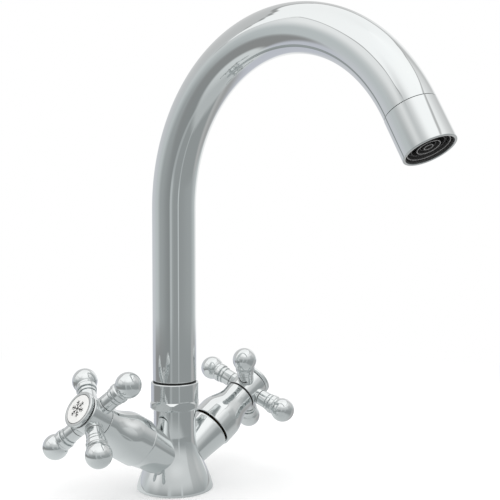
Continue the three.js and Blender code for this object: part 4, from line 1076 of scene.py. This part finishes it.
def hub_profile(bottom):
    """Profile of a hub from its spigot's bore to the floor of its recess."""
    return rounded(
        [
            (0, HUB_BORE_END),
            (HUB_BORE_R, HUB_BORE_END, 0.1),
            (HUB_BORE_R, HUB_SPIGOT_END, 0.1),
            (HUB_SPIGOT_R, HUB_SPIGOT_END, 0.2),
            (HUB_SPIGOT_R, bottom, 0.05),
            (HUB_R, bottom, 0.3),
            (HUB_TOP_R, HUB_TOP, 0.9),
            (HUB_RECESS_R, HUB_TOP, 0.2),
            (HUB_RECESS_R, HUB_RECESS_FLOOR, 0.1),
            (0, HUB_RECESS_FLOOR),
        ]
    )


boss = rounded([(0, BOSS_START), (BOSS_R, BOSS_START), (BOSS_R, BOSS_REACH, 0.35), (0, BOSS_REACH)])
first = np.arcsin(SPOKE_NECK_R / BALL_R)
ball_turn = np.linspace(first, np.pi, BALL_ROWS)[:, None]
ball = np.concatenate([BALL_R * np.sin(ball_turn), BALL_AT - BALL_R * np.cos(ball_turn)], axis=1)
ball[-1, 0] = 0
spoke = rounded(
    [
        (0, TENON_END),
        (TENON_R, TENON_END, 0.2),
        (TENON_R, SPOKE_ROOT),
        (SPOKE_ROOT_R, SPOKE_ROOT, 0.3),
        (SPOKE_ROOT_R, ROOT_END, 0.2),
        *[(radius, *end) for radius, *ends in SPOKE_RINGS for end in ends],
        (SPOKE_NECK_R - 0.1, NECK_AT, 0.4),
        ball,
    ],
    steps=8,
)
turned_chrome = chrome_of("turned_chrome", roughness=0.07, haze=0.04, ripple=0.35)
for water in ("cold", "hot"):
    seat = handle_seat(water)
    # Painted shade: the washer's black band in the gap between shroud and hub.
    inner, low = SHADE_WASHER
    outer, high = SHADE_WASHER_R[water], HUB_BOTTOM[water] - SHADE_WASHER_GAP
    shade_washer = [(inner, low), (outer, low, 0.05), (outer, high, 0.05), (inner, high)]
    shade_washer_skin = turned(rounded(shade_washer), RING_COLUMNS, seat, loop=True)
    piece(f"{water}_hub_shade_washer", [shade_washer_skin], f"{water}_handle", [], rubber)
    skins = [turned(spaced(hub_profile(HUB_BOTTOM[water]), HUB_STEP), ROUND_COLUMNS, seat)]
    for quarter in range(4):
        boss_seat = spoke_seat(seat, quarter)
        skins.append(turned(spaced(boss, SPOKE_STEP), BOSS_COLUMNS, boss_seat))
    piece(f"{water}_hub", skins, f"{water}_handle", [f"{water}_handle_hub"], turned_chrome)
    for quarter in range(4):
        spoke_skin = turned(spaced(spoke, SPOKE_STEP), SPOKE_COLUMNS, spoke_seat(seat, quarter))
        piece(
            f"{water}_ball_spoke_{quarter + 1}",
            [spoke_skin],
            f"{water}_handle",
            [f"{water}_spoke_{quarter + 1}"],
            turned_chrome,
        )

# ------------------------------------------------------------------ bezels and index discs
# Chromed rings with a coin-milled rear edge, screwed into the hubs, each holding a slightly
# domed white porcelain disc under a clear glaze, with one small black mark fired on: a snow
# star for cold water and rising heat for hot.
BEZEL_BOTTOM = 84.95
BEZEL_TOP = 88.0
BEZEL_R = 11.5
BEZEL_CHAMFER = 0.5
BEZEL_POCKET_R = 9.5
BEZEL_FLOOR = 85.6
BEZEL_SKIRT = (8.3, 7.0, 79.8)
MILLING_TEETH = 66
MILLING_DEPTH = 0.8
MILLED = (84.9, 86.1)
# Two black rubber rings are painted shade: one in the gap between hub and bezel, which reaches out
# to show as a dark line on the cold handle only, and one that fills the thin gap round the disc.
GAP_SHADE_RING_R = {"cold": 11.0, "hot": 9.8}
GAP_SHADE_RING = (8.8, 84.52, 84.92)
DISC_SHADE_RING = (9.22, 9.48, 86.0, 87.86)
DISC_R = 9.2
DISC_BOTTOM = 85.9
DISC_DOME = 0.5
DISC_EDGE = 0.25
FACE_ROWS = 24
BEZEL_STEP = 0.3
DISC_STEP = 1
TOOTH_COLUMNS = 8
EDGE_DEPTH = 0.6

bezel = rounded(
    [
        (0, BEZEL_BOTTOM),
        (BEZEL_SKIRT[1], BEZEL_BOTTOM, 0.1),
        (BEZEL_SKIRT[1], BEZEL_SKIRT[2], 0.1),
        (BEZEL_SKIRT[0], BEZEL_SKIRT[2], 0.1),
        (BEZEL_SKIRT[0], BEZEL_BOTTOM, 0.1),
        (BEZEL_R - BEZEL_CHAMFER, BEZEL_BOTTOM, 0.1),
        (BEZEL_R, BEZEL_BOTTOM + BEZEL_CHAMFER, 0.1),
        (BEZEL_R, BEZEL_TOP, 0.7),
        (BEZEL_POCKET_R, BEZEL_TOP, 0.25),
        (BEZEL_POCKET_R, BEZEL_FLOOR, 0.1),
        (0, BEZEL_FLOOR),
    ]
)
bezel = spaced(bezel, BEZEL_STEP)
BEZEL_COLUMNS = MILLING_TEETH * TOOTH_COLUMNS
around = np.linspace(0, 2 * np.pi, BEZEL_COLUMNS, endpoint=False)
notch = (1 + np.cos(MILLING_TEETH * around)) / 2
bezel_r, bezel_z = bezel.T
on_edge = (bezel_r > BEZEL_R - EDGE_DEPTH) & (bezel_z > MILLED[0]) & (bezel_z < MILLED[1])
bezel_radius = np.repeat(bezel[:, :1], BEZEL_COLUMNS, axis=1)
bezel_radius[on_edge] -= MILLING_DEPTH * notch
edge = DISC_R - DISC_EDGE
face_r = np.linspace(edge, 0, FACE_ROWS)
face = np.stack([face_r, BEZEL_TOP + DISC_DOME * (1 - (face_r / edge) ** 2)], axis=1)
disc = rounded([(0, DISC_BOTTOM), (DISC_R, DISC_BOTTOM, 0.1), (DISC_R, BEZEL_TOP - 0.1, 0.1), face])

# Both marks are drawn on the disc's own UV map, whose centre is (0, 0) and whose edge is at 1. The
# star is half an arm, mirrored and set six times round, with two twigs that leave it at 45
# degrees. The heat is three upright lines that sway with the sine of their height.
STAR_LINE = 0.036
STAR_REACH = 0.62
TWIG_STARTS = (0.22, 0.40)
TWIG_LINE = 0.042
TWIG_REACH = 0.15
HEAT_SWAY = (9.0, 0.08)
HEAT_HALF_STEP = 0.15
HEAT_LINE = 0.045
HEAT_REACH = (0.38, 0.5)
snow, enter, leave = group_of("snow_star", [("Vector", "vector")], [("Mask", "value")])
u, v = parts_of(snow, enter.outputs["Vector"])[:2]
squares = math_of(snow, "ADD", times(snow, u, u), times(snow, v, v))
reach = math_of(snow, "SQRT", squares)
folded = math_of(snow, "PINGPONG", math_of(snow, "ARCTAN2", v, u), np.pi / 6)
ahead_of = times(snow, reach, math_of(snow, "COSINE", folded))
aside = times(snow, reach, math_of(snow, "SINE", folded))
on_arm = math_of(snow, "LESS_THAN", aside, STAR_LINE)
mark = times(snow, on_arm, math_of(snow, "LESS_THAN", ahead_of, STAR_REACH))
for start in TWIG_STARTS:
    slant = math_of(snow, "SUBTRACT", math_of(snow, "SUBTRACT", ahead_of, start), aside)
    twig = math_of(snow, "LESS_THAN", math_of(snow, "ABSOLUTE", slant), TWIG_LINE)
    twig = times(snow, twig, math_of(snow, "LESS_THAN", aside, TWIG_REACH))
    mark = math_of(snow, "MAXIMUM", mark, twig)
join(snow, mark, leave.inputs["Mask"])

heat, enter, leave = group_of("heat_waves", [("Vector", "vector")], [("Mask", "value")])
u, v = parts_of(heat, enter.outputs["Vector"])[:2]
wave = math_of(heat, "SINE", times(heat, v, HEAT_SWAY[0]))
leaning = math_of(heat, "SUBTRACT", u, times(heat, wave, HEAT_SWAY[1]))
column = math_of(heat, "PINGPONG", math_of(heat, "ADD", leaning, HEAT_HALF_STEP), HEAT_HALF_STEP)
line = math_of(heat, "GREATER_THAN", column, HEAT_HALF_STEP - HEAT_LINE)
inside_u = math_of(heat, "LESS_THAN", math_of(heat, "ABSOLUTE", leaning), HEAT_REACH[0])
inside_v = math_of(heat, "LESS_THAN", math_of(heat, "ABSOLUTE", v), HEAT_REACH[1])
inside = times(heat, inside_u, inside_v)
join(heat, times(heat, line, inside), leave.inputs["Mask"])

PORCELAIN_WHITES = ((0.80, 0.80, 0.78, 1), (0.86, 0.86, 0.85, 1))
MARK_BLACK = 0.015
GLAZE = {"scale": 300.0, "low": 0.06, "high": 0.12}
GLAZE_COAT = 0.4
GLAZE_BUMP = 0.00001

for water, mark_group in (("cold", snow), ("hot", heat)):
    seat = handle_seat(water)
    shade_rings = []
    # Painted shade: black rings in the gaps under the bezel and round the disc.
    gap_shade_ring = (GAP_SHADE_RING[0], GAP_SHADE_RING_R[water], *GAP_SHADE_RING[1:])
    for inner, outer, low, high in (gap_shade_ring, DISC_SHADE_RING):
        section = np.array([(inner, low), (outer, low), (outer, high), (inner, high)])
        shade_rings.append(turned(section, RING_COLUMNS, seat, loop=True))
    piece(f"{water}_bezel_shade_rings", shade_rings, f"{water}_handle", [], rubber)
    piece(
        f"{water}_milled_bezel",
        [wrapped(bezel_radius, bezel_z, seat)],
        f"{water}_handle",
        [f"{water}_index_bezel"],
        turned_chrome,
    )
    porcelain, tree, shader, coords = material_of(f"{water}_porcelain", 0.0)
    glaze = use_group(tree, grain, coords, **GLAZE)
    own_map = place(tree, "UVMap", uv_map="face")
    fired = use_group(tree, mark_group, own_map.outputs["UV"])
    white = mix_of(tree, glaze.outputs["Mask"], *PORCELAIN_WHITES)
    painted = mix_of(tree, fired.outputs["Mask"], white, grey(MARK_BLACK))
    join(tree, painted, shader.inputs["Base Color"])
    join(tree, glaze.outputs["Roughness"], shader.inputs["Roughness"])
    shader.inputs["Coat Weight"].default_value = GLAZE_COAT
    bump_of(tree, glaze.outputs["Height"], shader, GLAZE_BUMP)
    made = piece(
        f"{water}_disc",
        [turned(spaced(disc, DISC_STEP), RING_COLUMNS, seat)],
        f"{water}_handle",
        [f"{water}_index_disc"],
        porcelain,
    )
    mesh = made.data
    points = np.zeros(len(mesh.vertices) * 3)
    mesh.vertices.foreach_get("co", points)
    corner = np.zeros(len(mesh.loops), dtype=np.int32)
    mesh.loops.foreach_get("vertex_index", corner)
    axes, origin = ARM_SEATS[water]
    local = (points.reshape(-1, 3) / MM - origin) @ axes
    uv = np.stack([-local[:, 0], local[:, 1]], axis=1) / DISC_R
    layer = mesh.uv_layers.new(name="face")
    layer.data.foreach_set("uv", uv[corner].ravel())
